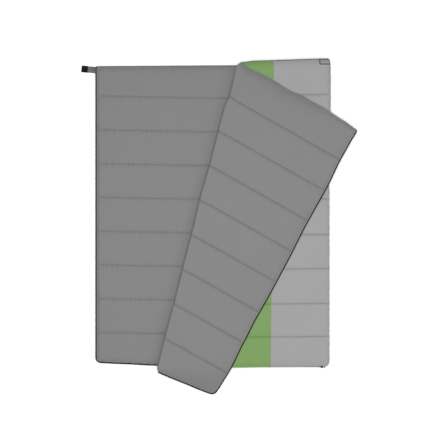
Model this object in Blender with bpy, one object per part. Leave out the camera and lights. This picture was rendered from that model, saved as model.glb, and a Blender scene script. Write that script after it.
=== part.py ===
"""Double camp quilt: a back and a front layer joined along one side, with the front folded back.

Metres, +Z up. The back layer lies on the ground with its liner up, and the origin is the
centre of its underside. The front layer lies on it with its shell up, joined to the back along
the right side. The front is creased on a slanted line, and the part left of the crease, the
flap, lies turned over on the front with its liner up. Every layer is two fabric sheets round a
sheet of fill. A coil zip runs down the left side and along the foot of both layers.
"""

import bpy
import numpy as np
from mathutils import Vector
from mathutils.geometry import delaunay_2d_cdt

# --- Fabric, fill and clearances
FABRIC = 0.001          # thickness of the shell and liner sheets
FILL = 0.019            # thickness of the quilted fill
GAP = 0.0003            # clearance between pieces that touch
SEAM_WIDTH = 0.010      # flat margin round each layer, where the sheets are sewn together
SHOULDER = 0.022        # width over which the fill rises to its full thickness
CHANNEL_DIP = 0.45      # depth of a sewn line, as a share of half the fill
DIP_WIDTH = 0.020       # half width of the valley at a sewn line
BEND_AT = 0.3           # share of the shoulder at which its rounding has one more bend

# --- Overall sizes
WIDTH = 1.461           # left edge to the closed right side
HALF_WIDTH = WIDTH / 2
BACK_HEAD_LEFT = 0.934  # head edge of the back layer at its left and right ends
BACK_HEAD_RIGHT = 0.944
BACK_LENGTH_LEFT = 1.852
BACK_LENGTH_RIGHT = 1.889
FRONT_HEAD_LEFT = 0.934  # the same for the front layer, with the flap closed
FRONT_HEAD_RIGHT = 0.981
FRONT_LENGTH_LEFT = 1.856
FRONT_LENGTH_RIGHT = 1.926
CREASE_HEAD_AT = 0.5965  # where the crease meets the head edge, as a share of the width
CREASE_FOOT_AT = 0.2577
CREASE_FOOT_PUSH = 0.0431  # how far the foot edge is pushed out at the crease
HEAD_RADIUS = 0.006
FOOT_RADIUS = 0.026
ARC_STEPS = 4

# --- Quilting
CHANNELS = 9
BACK_HEAD_CHANNEL_LEFT = 0.183   # head edge to the first sewn line, at each end
BACK_HEAD_CHANNEL_RIGHT = 0.220
BACK_FOOT_CHANNEL_LEFT = 0.184   # foot edge to the last sewn line
BACK_FOOT_CHANNEL_RIGHT = 0.184
FRONT_HEAD_CHANNEL_LEFT = 0.198
FRONT_HEAD_CHANNEL_RIGHT = 0.223
FRONT_FOOT_CHANNEL_LEFT = 0.151
FRONT_FOOT_CHANNEL_RIGHT = 0.189
SIDE_PANEL = 0.361        # width of the grey panels of the front shell

# --- Zip
TAPE = 0.0008             # thickness of the zip tape and of the head binding's lip
TAPE_INSIDE = 0.008
TAPE_OUTSIDE = 0.005
COIL_RADIUS = 0.0015
STOP_LENGTH = 0.004
STOP_HEIGHT = 0.0016
ZIP_START = 0.001         # from the end of the head corner's arc to the end of the tape
ZIP_END = 0.036           # the foot end of the zip stops this far before the closed side
SLIDER_LENGTH = 0.018
SLIDER_HALF_HEIGHT = 0.0034
SLIDER_WALL = 0.0021
SLIDER_INNER = 0.0012     # from the layer's edge to the slider
BAIL_HALF_LENGTH = 0.006
BAIL_HALF_WIDTH = 0.001
BAIL_THICKNESS = 0.0012
PULL_HALF_THICKNESS = 0.0006
PULL_LENGTH = 0.028
PULL_HALF_WIDTH = 0.0038
PULL_ARM = 0.0016
WINDOW_LENGTH = 0.0079
BOX_LENGTH = 0.009

# --- Head binding
BINDING_REACH = 0.003
BINDING_RADIUS = 0.0013

# --- Tab and patches
TAB_LENGTH = 0.0845
TAB_WIDTH = 0.037
TAB_THICKNESS = 0.001
TAB_MIDDLE_BELOW_HEAD = 0.0225
TAB_RISE = 0.092          # how far the tab climbs towards the head for each metre outwards
PATCH_THICKNESS = 0.0012
HOOK_LENGTH = 0.038
HOOK_MARGIN = 0.002
LOOP_LENGTH = 0.042
LOOP_WIDTH = 0.034
CORNER_PATCH_LENGTH = 0.060
CORNER_PATCH_WIDTH = 0.034
CORNER_PATCH_MARGIN = 0.002

# --- Places that follow from the sizes above
HALF_LAYER = FILL / 2 + GAP + FABRIC
BEND_RISE = (1 - (1 - BEND_AT) ** 2) ** 0.5
BEND_Z = (FILL / 2 - TAPE / 2) * (1 - BEND_RISE)
TAB_ROOM = (1 - (2.5 * GAP + TAB_THICKNESS) / BEND_Z) * (1 - BEND_AT)
TAB_ROOT = SEAM_WIDTH + SHOULDER * (BEND_AT + TAB_ROOM)  # how far its root runs under
BACK_MIDDLE = HALF_LAYER
SIDE_AXIS_Z = 2 * HALF_LAYER + GAP
FRONT_MIDDLE = SIDE_AXIS_Z + GAP + HALF_LAYER
CREASE_AXIS_Z = FRONT_MIDDLE + HALF_LAYER + GAP
COIL_OUT = TAPE_OUTSIDE + GAP + COIL_RADIUS
SLIDER_OUTER = COIL_OUT + COIL_RADIUS + GAP + SLIDER_WALL + 0.0001
PULL_AXIS_UP = SLIDER_HALF_HEIGHT + 0.0004 + PULL_HALF_THICKNESS
TAB_AXIS_X = -HALF_WIDTH - SLIDER_OUTER - 0.001
HOOK_TOP = GAP + TAB_THICKNESS + GAP + PATCH_THICKNESS
LOOP_TOP = CREASE_AXIS_Z - GAP + GAP + PATCH_THICKNESS
TAB_AXIS_Z = (LOOP_TOP + HOOK_TOP + GAP) / 2

for old in list(bpy.data.objects):
    bpy.data.objects.remove(old, do_unlink=True)

# --- Materials and objects

COLOURS = {
    "shell_grey": ((0.38, 0.38, 0.38), 0.75),
    "shell_green": ((0.22, 0.38, 0.13), 0.75),
    "liner_grey": ((0.24, 0.24, 0.24), 0.8),
    "fill_white": ((0.85, 0.85, 0.83), 0.9),
    "binding_grey": ((0.13, 0.13, 0.13), 0.8),
    "tape_grey": ((0.12, 0.12, 0.12), 0.8),
    "coil_black": ((0.02, 0.02, 0.02), 0.4),
    "metal_black": ((0.03, 0.03, 0.03), 0.35),
    "hook_black": ((0.01, 0.01, 0.01), 0.9),
    "patch_grey": ((0.32, 0.32, 0.32), 0.7),
}


def material(name, colour):
    """One plain Principled material of its own for each piece."""
    tone, rough = COLOURS[colour]
    made = bpy.data.materials.new(name + "_mat")
    made.use_nodes = True
    shader = made.node_tree.nodes["Principled BSDF"]
    shader.inputs["Base Color"].default_value = (*tone, 1.0)
    shader.inputs["Roughness"].default_value = rough
    made.diffuse_color = (*tone, 1.0)
    return made


def add_piece(name, points, faces, colour, origin=(0.0, 0.0, 0.0), smooth=False):
    """Makes one object from points in the shared frame, with its origin where asked."""
    mesh = bpy.data.meshes.new(name)
    local = np.asarray(points, float) - np.asarray(origin, float)
    mesh.from_pydata([tuple(p) for p in local], [], [tuple(int(i) for i in f) for f in faces])
    mesh.update()
    mesh.validate()
    piece = bpy.data.objects.new(name, mesh)
    piece.location = origin
    bpy.context.collection.objects.link(piece)
    mesh.materials.append(material(name, colour))
    if smooth:
        mesh.shade_smooth()
    return piece


# --- Plan outlines

def edge_frames(corners):
    """Start, direction and outward normal of each side of a clockwise polygon."""
    here = np.asarray(corners, float)
    step = np.roll(here, -1, axis=0) - here
    step /= np.linalg.norm(step, axis=1)[:, None]
    return here, step, np.stack([-step[:, 1], step[:, 0]], axis=1)


def inset_corners(corners, inset):
    """The corners of the polygon whose sides lie inset metres further in."""
    start, step, out = edge_frames(corners)
    moved = start - out * inset
    result = []
    for i in range(len(corners)):
        j = i - 1
        cross = step[j][0] * step[i][1] - step[j][1] * step[i][0]
        gap = moved[i] - moved[j]
        along = (gap[0] * step[i][1] - gap[1] * step[i][0]) / cross
        result.append(moved[j] + step[j] * along)
    return np.array(result)


def rounded(corners, radii, inset=0.0):
    """The polygon's outline, inset, with each corner turned on an arc."""
    points = inset_corners(corners, inset)
    count = len(points)
    outline = []
    for i in range(count):
        radius = radii[i] - inset if radii[i] > 0 else 0.0
        if radii[i] > 0:
            radius = max(radius, 0.002)
        before = points[i - 1] - points[i]
        after = points[(i + 1) % count] - points[i]
        before /= np.linalg.norm(before)
        after /= np.linalg.norm(after)
        if radius <= 0:
            outline.append(points[i])
            continue
        half = np.arccos(np.clip(before @ after, -1, 1)) / 2
        reach = radius / np.tan(half)
        middle = before + after
        centre = points[i] + middle / np.linalg.norm(middle) * radius / np.sin(half)
        first = points[i] + before * reach - centre
        last = points[i] + after * reach - centre
        a0 = np.arctan2(first[1], first[0])
        turn = np.arctan2(last[1], last[0]) - a0
        turn = (turn + np.pi) % (2 * np.pi) - np.pi
        for angle in a0 + np.linspace(0, turn, ARC_STEPS + 1):
            outline.append(centre + radius * np.array([np.cos(angle), np.sin(angle)]))
    return np.array(outline)


def depth_inside(points, corners, radii):
    """Distance of plan points from the rounded outline, positive inside it."""
    start, step, out = edge_frames(corners)
    far = -np.einsum("pej,ej->pe", points[:, None, :] - start[None], out)
    depth = far.min(axis=1)
    for i, radius in enumerate(radii):
        if radius <= 0:
            continue
        centre = inset_corners(corners, radius)[i]
        near = (far[:, i] < radius) & (far[:, i - 1] < radius)
        round_depth = radius - np.linalg.norm(points - centre, axis=1)
        depth = np.where(near, round_depth, depth)
    return depth


LEFT, RIGHT = -HALF_WIDTH, HALF_WIDTH - GAP / 2
BACK_FOOT_LEFT = BACK_HEAD_LEFT - BACK_LENGTH_LEFT
BACK_FOOT_RIGHT = BACK_HEAD_RIGHT - BACK_LENGTH_RIGHT
FRONT_FOOT_LEFT = FRONT_HEAD_LEFT - FRONT_LENGTH_LEFT
FRONT_FOOT_RIGHT = FRONT_HEAD_RIGHT - FRONT_LENGTH_RIGHT
CREASE_HEAD_X = LEFT + CREASE_HEAD_AT * WIDTH
CREASE_FOOT_X = LEFT + CREASE_FOOT_AT * WIDTH
CREASE_HEAD_Y = FRONT_HEAD_LEFT + CREASE_HEAD_AT * (FRONT_HEAD_RIGHT - FRONT_HEAD_LEFT)
CREASE_FOOT_Y = FRONT_FOOT_LEFT + CREASE_FOOT_AT * (FRONT_FOOT_RIGHT - FRONT_FOOT_LEFT)
CREASE_FOOT_Y -= CREASE_FOOT_PUSH
BACK_PLAN = [(LEFT, BACK_FOOT_LEFT), (LEFT, BACK_HEAD_LEFT),
             (RIGHT, BACK_HEAD_RIGHT), (RIGHT, BACK_FOOT_RIGHT)]
BACK_RADII = [FOOT_RADIUS, HEAD_RADIUS, HEAD_RADIUS, FOOT_RADIUS]
FRONT_PLAN = [(LEFT, FRONT_FOOT_LEFT), (LEFT, FRONT_HEAD_LEFT),
              (RIGHT, FRONT_HEAD_RIGHT), (RIGHT, FRONT_FOOT_RIGHT),
              (CREASE_FOOT_X, CREASE_FOOT_Y)]
FRONT_RADII = [FOOT_RADIUS, HEAD_RADIUS, HEAD_RADIUS, FOOT_RADIUS, 0.0]
CREASE_HEAD = np.array([CREASE_HEAD_X, CREASE_HEAD_Y])
CREASE_FOOT = np.array([CREASE_FOOT_X, CREASE_FOOT_Y])
CREASE_DIR = (CREASE_HEAD - CREASE_FOOT) / np.linalg.norm(CREASE_HEAD - CREASE_FOOT)
CREASE_SIDE = np.array([CREASE_DIR[1], -CREASE_DIR[0]])  # towards the front layer


def sewn_lines(heads, head_channels, feet, foot_channels):
    """Left and right ends of the sewn lines, evenly spaced between the end channels."""
    ends = []
    for head, above, foot, below in zip(heads, head_channels, feet, foot_channels):
        ends.append(np.linspace(head - above, foot + below, CHANNELS - 1))
    return np.stack(ends, axis=1)


BACK_LINES = sewn_lines((BACK_HEAD_LEFT, BACK_HEAD_RIGHT),
                        (BACK_HEAD_CHANNEL_LEFT, BACK_HEAD_CHANNEL_RIGHT),
                        (BACK_FOOT_LEFT, BACK_FOOT_RIGHT),
                        (BACK_FOOT_CHANNEL_LEFT, BACK_FOOT_CHANNEL_RIGHT))
FRONT_LINES = sewn_lines((FRONT_HEAD_LEFT, FRONT_HEAD_RIGHT),
                         (FRONT_HEAD_CHANNEL_LEFT, FRONT_HEAD_CHANNEL_RIGHT),
                         (FRONT_FOOT_LEFT, FRONT_FOOT_RIGHT),
                         (FRONT_FOOT_CHANNEL_LEFT, FRONT_FOOT_CHANNEL_RIGHT))


def line_distance(points, lines):
    """Distance along Y from each plan point to the nearest sewn line."""
    share = (points[:, 0] + HALF_WIDTH) / WIDTH
    heights = lines[None, :, 0] * (1 - share[:, None]) + lines[None, :, 1] * share[:, None]
    return np.abs(points[:, 1][:, None] - heights).min(axis=1)


class Layer:
    """One quilted layer cut into triangles in plan, with the half thickness of its fill."""

    def __init__(self, plan, radii, lines, cuts=(), marks=()):
        self.plan, self.radii, self.lines = plan, radii, lines
        points, edges = [], []

        def add_path(path, closed):
            first = len(points)
            points.extend(Vector(p) for p in path)
            count = len(path)
            for k in range(count if closed else count - 1):
                edges.append((first + k, first + (k + 1) % count))

        for inset in (0.0, SEAM_WIDTH, SEAM_WIDTH + BEND_AT * SHOULDER,
                      SEAM_WIDTH + SHOULDER):
            add_path(rounded(plan, radii, inset), True)
        for left, right in lines:
            for shift in (-DIP_WIDTH, 0.0, DIP_WIDTH):
                add_path([(LEFT, left + shift), (HALF_WIDTH, right + shift)], False)
        for cut in cuts:
            add_path(cut, False)
        for mark in marks:
            add_path(mark, True)
        made = delaunay_2d_cdt(points, edges, [], 0, 1e-6)
        self.points = np.array([tuple(p) for p in made[0]])
        self.triangles = np.array([f for f in made[2] if len(f) == 3])
        self.middles = self.points[self.triangles].mean(axis=1)
        self.depth = depth_inside(self.points, plan, radii)
        self.inside = depth_inside(self.middles, plan, radii) > 1e-6

    def half_fill(self, dipped):
        """Half thickness of the fill: a quarter ellipse at the edge, a valley at each line."""
        share = np.clip((self.depth - SEAM_WIDTH) / SHOULDER, 0, 1)
        rise = np.sqrt(1 - (1 - share) ** 2)
        if dipped:
            near = np.clip(1 - line_distance(self.points, self.lines) / DIP_WIDTH, 0, 1)
            rise = rise * (1 - CHANNEL_DIP * near)
        return TAPE / 2 + (FILL / 2 - TAPE / 2) * rise


def plate(layer, chosen, low, high, middle):
    """A closed solid over the chosen triangles, between two heights given at each point."""
    triangles = layer.triangles[chosen]
    corners = layer.points[triangles]
    first, second = corners[:, 1] - corners[:, 0], corners[:, 2] - corners[:, 0]
    turned = first[:, 0] * second[:, 1] - first[:, 1] * second[:, 0] < 0
    triangles[turned] = triangles[turned][:, ::-1]
    used, flat = np.unique(triangles, return_inverse=True)
    flat = flat.reshape(-1, 3)
    count = len(used)
    plan = layer.points[used]
    points = np.concatenate([np.column_stack([plan, middle + low[used]]),
                             np.column_stack([plan, middle + high[used]])])
    sides = {(int(f[k]), int(f[(k + 1) % 3])) for f in flat for k in range(3)}
    rim = [(a, b) for a, b in sorted(sides) if (b, a) not in sides]
    faces = [tuple(f[::-1]) for f in flat]
    faces += [tuple(f + count) for f in flat]
    faces += [(a, b, b + count, a + count) for a, b in rim]
    return points, faces


def sweep(path, profile, middle):
    """Carries a closed profile of (outward, up) points along a plan path."""
    path = np.asarray(path, float)
    step = np.diff(path, axis=0)
    step /= np.linalg.norm(step, axis=1)[:, None]
    out = np.stack([-step[:, 1], step[:, 0]], axis=1)
    before = np.vstack([out[:1], out])
    after = np.vstack([out, out[-1:]])
    mitre = before + after
    mitre /= np.einsum("ij,ij->i", mitre, after)[:, None]
    profile = np.asarray(profile, float)
    across, up = profile[:, 0], profile[:, 1]
    plan = path[:, None, :] + mitre[:, None, :] * across[None, :, None]
    height = np.broadcast_to(middle + up[None, :, None], (*plan.shape[:2], 1))
    points = np.concatenate([plan, height], axis=2).reshape(-1, 3)
    size, rows = len(profile), len(path)
    faces = []
    for r in range(rows - 1):
        for k in range(size):
            n = (k + 1) % size
            faces.append((r * size + k, (r + 1) * size + k, (r + 1) * size + n, r * size + n))
    faces.append(tuple(range(size)))
    faces.append(tuple((rows - 1) * size + k for k in reversed(range(size))))
    return points, faces


def outward(points, faces):
    """The faces, turned over if the solid they close has a negative volume."""
    total = 0.0
    for face in faces:
        a = points[face[0]]
        for k in range(1, len(face) - 1):
            total += np.dot(a, np.cross(points[face[k]], points[face[k + 1]]))
    return faces if total > 0 else [tuple(reversed(f)) for f in faces]


def turn_over(points):
    """Half a turn about the crease: carries the flap from closed to folded back."""
    points = np.array(points, float)
    axis = np.array([CREASE_DIR[0], CREASE_DIR[1], 0.0])
    anchor = np.array([CREASE_HEAD[0], CREASE_HEAD[1], CREASE_AXIS_Z])
    arm = points - anchor
    return anchor + 2 * np.outer(arm @ axis, axis) - arm


def box(low, high, bevel=0.0):
    """An upright block whose long edges along Y are cut back by the bevel."""
    (x0, y0, z0), (x1, y1, z1) = low, high
    b = bevel
    ring = [(x0 + b, z0), (x1 - b, z0), (x1, z0 + b), (x1, z1 - b),
            (x1 - b, z1), (x0 + b, z1), (x0, z1 - b), (x0, z0 + b)]
    if bevel == 0.0:
        ring = [(x0, z0), (x1, z0), (x1, z1), (x0, z1)]
    count = len(ring)
    points = [(x, y0, z) for x, z in ring] + [(x, y1, z) for x, z in ring]
    faces = [(k, (k + 1) % count, (k + 1) % count + count, k + count) for k in range(count)]
    faces.append(tuple(reversed(range(count))))
    faces.append(tuple(range(count, 2 * count)))
    points = np.array(points)
    return points, outward(points, faces)


# --- Origins on the joint axes
SIDE_ORIGIN = (HALF_WIDTH, 0.0, SIDE_AXIS_Z)
CREASE_MIDDLE = (CREASE_HEAD + CREASE_FOOT) / 2
CREASE_ORIGIN = (float(CREASE_MIDDLE[0]), float(CREASE_MIDDLE[1]), CREASE_AXIS_Z)

# --- Back layer
back = Layer(BACK_PLAN, BACK_RADII, BACK_LINES)
smooth_half = back.half_fill(False)
dipped_half = back.half_fill(True)
filled = back.inside & (depth_inside(back.middles, BACK_PLAN, BACK_RADII) > SEAM_WIDTH)
add_piece("back_shell", *plate(back, back.inside, -smooth_half - GAP - FABRIC,
                               -smooth_half - GAP, BACK_MIDDLE), "shell_grey")
add_piece("back_fill", *plate(back, filled, -smooth_half, dipped_half, BACK_MIDDLE),
          "fill_white")
add_piece("back_liner", *plate(back, back.inside, dipped_half + GAP,
                               dipped_half + GAP + FABRIC, BACK_MIDDLE), "liner_grey")

# --- Front layer, with the flap closed, cut at the crease and between the shell panels


def cut_beside(start, end, gap=GAP / 2):
    """Two long cuts, one on each side of a line, run a little past its ends."""
    start, end = np.asarray(start, float), np.asarray(end, float)
    along = (end - start) / np.linalg.norm(end - start)
    side = np.array([along[1], -along[0]]) * gap
    reach = along * 0.004
    return [[start - reach + side, end + reach + side],
            [start - reach - side, end + reach - side]]


def side_of(points, start, end):
    """Signed distance of plan points to the right of a line."""
    along = (np.asarray(end) - start) / np.linalg.norm(np.asarray(end) - start)
    arm = points - start
    return arm[:, 0] * along[1] - arm[:, 1] * along[0]


def foot_edge_at(x):
    """The front layer's foot edge at a place along its width."""
    if x < CREASE_FOOT_X:
        share = (x - LEFT) / (CREASE_FOOT_X - LEFT)
        return FRONT_FOOT_LEFT + share * (CREASE_FOOT_Y - FRONT_FOOT_LEFT)
    share = (x - CREASE_FOOT_X) / (RIGHT - CREASE_FOOT_X)
    return CREASE_FOOT_Y + share * (FRONT_FOOT_RIGHT - CREASE_FOOT_Y)


def head_edge_at(x):
    """The front layer's head edge at a place along its width."""
    share = (x - LEFT) / (RIGHT - LEFT)
    return FRONT_HEAD_LEFT + share * (FRONT_HEAD_RIGHT - FRONT_HEAD_LEFT)


def panel_edge(x):
    return (x, foot_edge_at(x)), (x, head_edge_at(x))


LEFT_PANEL = panel_edge(-HALF_WIDTH + SIDE_PANEL)
RIGHT_PANEL = panel_edge(HALF_WIDTH - SIDE_PANEL)


def rectangle(x0, x1, y0, y1):
    return [(x0, y0), (x0, y1), (x1, y1), (x1, y0)]


TAB_MIDDLE_Y = BACK_HEAD_LEFT - TAB_MIDDLE_BELOW_HEAD
HOOK_NEAR = TAB_AXIS_X - TAB_LENGTH + HOOK_MARGIN + HOOK_LENGTH
LOOP_MIDDLE_X = 2 * TAB_AXIS_X - (HOOK_NEAR - HOOK_LENGTH / 2)
LOOP_X0 = LOOP_MIDDLE_X - LOOP_LENGTH / 2
LOOP_X1 = LOOP_MIDDLE_X + LOOP_LENGTH / 2
LOOP_MIDDLE_Y = min(TAB_MIDDLE_Y - 0.003, FRONT_HEAD_LEFT - LOOP_WIDTH / 2 - 0.006)
LOOP_MARK = rectangle(LOOP_X0, LOOP_X1,
                      LOOP_MIDDLE_Y - LOOP_WIDTH / 2, LOOP_MIDDLE_Y + LOOP_WIDTH / 2)
CORNER_X1 = RIGHT - CORNER_PATCH_MARGIN
CORNER_X0 = CORNER_X1 - CORNER_PATCH_LENGTH
CORNER_TOP0 = head_edge_at(CORNER_X0) - CORNER_PATCH_MARGIN
CORNER_TOP1 = head_edge_at(CORNER_X1) - CORNER_PATCH_MARGIN
CORNER_MARK = [(CORNER_X0, CORNER_TOP0 - CORNER_PATCH_WIDTH), (CORNER_X0, CORNER_TOP0),
               (CORNER_X1, CORNER_TOP1), (CORNER_X1, CORNER_TOP1 - CORNER_PATCH_WIDTH)]


def in_mark(points, mark):
    """True for plan points inside a clockwise four-sided mark."""
    start, step, out = edge_frames(mark)
    far = np.einsum("pej,ej->pe", points[:, None, :] - start[None], out)
    return (far < 0).all(axis=1)


front = Layer(FRONT_PLAN, FRONT_RADII, FRONT_LINES,
              cuts=[*cut_beside(CREASE_FOOT, CREASE_HEAD), *cut_beside(*LEFT_PANEL),
                    *cut_beside(*RIGHT_PANEL)],
              marks=[LOOP_MARK, CORNER_MARK])
front_half = front.half_fill(True)
beside_crease = side_of(front.middles, CREASE_FOOT, CREASE_HEAD)
on_front = front.inside & (beside_crease > GAP / 2)
on_flap = front.inside & (beside_crease < -GAP / 2)
front_filled = depth_inside(front.middles, FRONT_PLAN, FRONT_RADII) > SEAM_WIDTH
past_left = front.middles[:, 0] - LEFT_PANEL[0][0]
past_right = front.middles[:, 0] - RIGHT_PANEL[0][0]

SHELL = (front_half + GAP, front_half + GAP + FABRIC)
LINER = (-front_half - GAP - FABRIC, -front_half - GAP)
PATCH = (front_half + 2 * GAP + FABRIC, front_half + 2 * GAP + FABRIC + PATCH_THICKNESS)


def add_front(name, chosen, heights, colour):
    points, faces = plate(front, chosen, heights[0], heights[1], FRONT_MIDDLE)
    add_piece(name, points, faces, colour, SIDE_ORIGIN)


def add_flap(name, chosen, heights, colour):
    points, faces = plate(front, chosen, heights[0], heights[1], FRONT_MIDDLE)
    add_piece(name, turn_over(points), faces, colour, CREASE_ORIGIN)


add_front("front_shell_side", on_front & (past_right > GAP / 2), SHELL, "shell_grey")
add_front("front_shell_band", on_front & (past_right < -GAP / 2), SHELL, "shell_green")
add_front("front_fill", on_front & front_filled, (-front_half, front_half), "fill_white")
add_front("front_liner", on_front, LINER, "liner_grey")
add_front("corner_patch", on_front & in_mark(front.middles, CORNER_MARK), PATCH,
          "patch_grey")
add_flap("flap_shell_band", on_flap & (past_left > GAP / 2), SHELL, "shell_green")
add_flap("flap_shell_side", on_flap & (past_left < -GAP / 2), SHELL, "shell_grey")
add_flap("flap_fill", on_flap & front_filled, (-front_half, front_half), "fill_white")
add_flap("flap_liner", on_flap, LINER, "liner_grey")
add_flap("loop_patch", on_flap & in_mark(front.middles, LOOP_MARK), PATCH, "hook_black")

# --- Head bindings: a thin lip between the sheets and a round bead outside them
BEAD = [(GAP + 0.0002, -TAPE / 2), (GAP + 0.0007, -BINDING_RADIUS),
        (BINDING_REACH - 0.0005, -BINDING_RADIUS), (BINDING_REACH, -BINDING_RADIUS / 2),
        (BINDING_REACH, BINDING_RADIUS / 2), (BINDING_REACH - 0.0005, BINDING_RADIUS),
        (GAP + 0.0007, BINDING_RADIUS), (GAP + 0.0002, TAPE / 2),
        (-TAPE_INSIDE, TAPE / 2), (-TAPE_INSIDE, -TAPE / 2)]
BINDING_START = TAPE_INSIDE + HEAD_RADIUS


def head_path(x0, x1, y_left, y_right):
    """A straight piece of a head edge, from left to right."""
    share0, share1 = ((x - LEFT) / (RIGHT - LEFT) for x in (x0, x1))
    return [(x0, y_left + share0 * (y_right - y_left)),
            (x1, y_left + share1 * (y_right - y_left))]


def add_sweep(name, path, profile, middle, colour, origin, smooth=False, turned=False):
    points, faces = sweep(path, profile, middle)
    faces = outward(points, faces)
    points = turn_over(points) if turned else points
    add_piece(name, points, faces, colour, origin, smooth)


HEAD_END = RIGHT - HEAD_RADIUS - 0.004
add_sweep("back_head_binding",
          head_path(LEFT + BINDING_START, HEAD_END, BACK_HEAD_LEFT, BACK_HEAD_RIGHT),
          BEAD, BACK_MIDDLE, "binding_grey", (0, 0, 0))
add_sweep("front_head_binding",
          head_path(CREASE_HEAD_X + 0.003, HEAD_END, FRONT_HEAD_LEFT, FRONT_HEAD_RIGHT),
          BEAD, FRONT_MIDDLE, "binding_grey", SIDE_ORIGIN)
add_sweep("flap_head_binding",
          head_path(LEFT + BINDING_START, CREASE_HEAD_X - 0.003,
                    FRONT_HEAD_LEFT, FRONT_HEAD_RIGHT),
          BEAD, FRONT_MIDDLE, "binding_grey", CREASE_ORIGIN, turned=True)

# --- Zip tapes and coils
TAPE_PROFILE = [(-TAPE_INSIDE, -TAPE / 2), (TAPE_OUTSIDE, -TAPE / 2),
                (TAPE_OUTSIDE, TAPE / 2), (-TAPE_INSIDE, TAPE / 2)]
ROUND = np.linspace(0, 2 * np.pi, 8, endpoint=False) + np.pi / 8
COIL_PROFILE = [(COIL_OUT + COIL_RADIUS * np.cos(a), COIL_RADIUS * np.sin(a)) for a in ROUND]
TAPE_TOP = HEAD_RADIUS + ZIP_START


def zip_path(plan, radii, foot_end):
    """From the foot end of the zip, along the foot and up the left edge to the head."""
    outline = rounded(plan, radii)
    corner = outline[:ARC_STEPS + 1]
    head = np.array([plan[1][0], plan[1][1] - TAPE_TOP])
    return np.vstack([foot_end, corner, head[None]])


def shorten_head(path, length):
    """The same path, ending lower down the left edge."""
    path = np.array(path, float)
    path[-1, 1] -= length
    return path


BACK_ZIP_X = HALF_WIDTH - ZIP_END
BACK_SLOPE = (BACK_FOOT_RIGHT - BACK_FOOT_LEFT) / (RIGHT - LEFT)
BACK_FOOT_END = np.array([[BACK_ZIP_X, BACK_FOOT_LEFT + BACK_SLOPE * (BACK_ZIP_X - LEFT)]])
back_zip = zip_path(BACK_PLAN, BACK_RADII, BACK_FOOT_END)
COIL_TOP = STOP_LENGTH + GAP
add_sweep("zip_back_tape", back_zip, TAPE_PROFILE, BACK_MIDDLE, "tape_grey", (0, 0, 0))
add_sweep("zip_back_coil", shorten_head(back_zip, COIL_TOP), COIL_PROFILE, BACK_MIDDLE,
          "coil_black", (0, 0, 0), smooth=True)

front_zip = np.array([(BACK_ZIP_X, foot_edge_at(BACK_ZIP_X)),
                      (CREASE_FOOT_X + 0.004, foot_edge_at(CREASE_FOOT_X + 0.004))])
add_sweep("zip_front_tape", front_zip, TAPE_PROFILE, FRONT_MIDDLE, "tape_grey", SIDE_ORIGIN)
add_sweep("zip_front_coil", front_zip, COIL_PROFILE, FRONT_MIDDLE, "coil_black", SIDE_ORIGIN,
          smooth=True)

FLAP_START_X = CREASE_FOOT_X - 0.004
flap_start = np.array([[FLAP_START_X, foot_edge_at(FLAP_START_X)]])
flap_zip = zip_path(FRONT_PLAN, FRONT_RADII, flap_start)
add_sweep("zip_flap_tape", flap_zip, TAPE_PROFILE, FRONT_MIDDLE, "tape_grey", CREASE_ORIGIN,
          turned=True)
add_sweep("zip_flap_coil", shorten_head(flap_zip, COIL_TOP), COIL_PROFILE, FRONT_MIDDLE,
          "coil_black", CREASE_ORIGIN, smooth=True, turned=True)

# --- Head stops, retainer box and insertion pin
STOP_IN, STOP_OUT = TAPE_OUTSIDE + GAP, COIL_OUT + COIL_RADIUS


def stop_block(head, middle):
    """A small crimped block beside the tape, above the end of the coil."""
    top = head - TAPE_TOP
    return box((LEFT - STOP_OUT, top - STOP_LENGTH, middle - STOP_HEIGHT),
               (LEFT - STOP_IN, top, middle + STOP_HEIGHT), 0.0006)


points, faces = stop_block(BACK_HEAD_LEFT, BACK_MIDDLE)
add_piece("head_stop_back", points, faces, "metal_black")
points, faces = stop_block(FRONT_HEAD_LEFT, FRONT_MIDDLE)
add_piece("head_stop_flap", turn_over(points), faces, "metal_black", CREASE_ORIGIN)


def foot_block(end, slope, length, middle, height):
    """A block past the foot end of the coil, in line with the foot edge."""
    along = np.array([1.0, slope]) / np.hypot(1.0, slope)
    out = np.array([along[1], -along[0]])
    start = np.asarray(end, float) + along * GAP
    corners = [start + out * STOP_IN, start + out * STOP_OUT,
               start + out * STOP_OUT + along * length, start + out * STOP_IN + along * length]
    points = [(*c, middle - height) for c in corners] + [(*c, middle + height) for c in corners]
    faces = [(0, 1, 2, 3), (7, 6, 5, 4), (0, 4, 5, 1), (1, 5, 6, 2), (2, 6, 7, 3), (3, 7, 4, 0)]
    points = np.array(points)
    return points, outward(points, faces)


points, faces = foot_block(BACK_FOOT_END[0], BACK_SLOPE, BOX_LENGTH, BACK_MIDDLE, 0.0026)
add_piece("retainer_box", points, faces, "metal_black")
FRONT_SLOPE = (FRONT_FOOT_RIGHT - CREASE_FOOT_Y) / (RIGHT - CREASE_FOOT_X)
points, faces = foot_block(front_zip[0], FRONT_SLOPE, BOX_LENGTH * 0.8, FRONT_MIDDLE, 0.0012)
add_piece("insertion_pin", points, faces, "metal_black", SIDE_ORIGIN)

# --- Slider, with its bail, and the pull that hangs on it
SLIDER_TOP_Y = BACK_HEAD_LEFT - TAPE_TOP - COIL_TOP
SLIDER_Y = SLIDER_TOP_Y - SLIDER_LENGTH / 2
SLIDER_CENTRE = (SLIDER_INNER + SLIDER_OUTER) / 2
ROOM_IN = COIL_OUT - COIL_RADIUS - GAP
ROOM_OUT = COIL_OUT + COIL_RADIUS + GAP
ROOM_UP = COIL_RADIUS + GAP
SLOT_UP = TAPE / 2 + GAP
BAIL_TOP = SLIDER_HALF_HEIGHT + 0.0032
PULL_AXIS = (LEFT - SLIDER_CENTRE, SLIDER_Y, BACK_MIDDLE + PULL_AXIS_UP)


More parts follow.
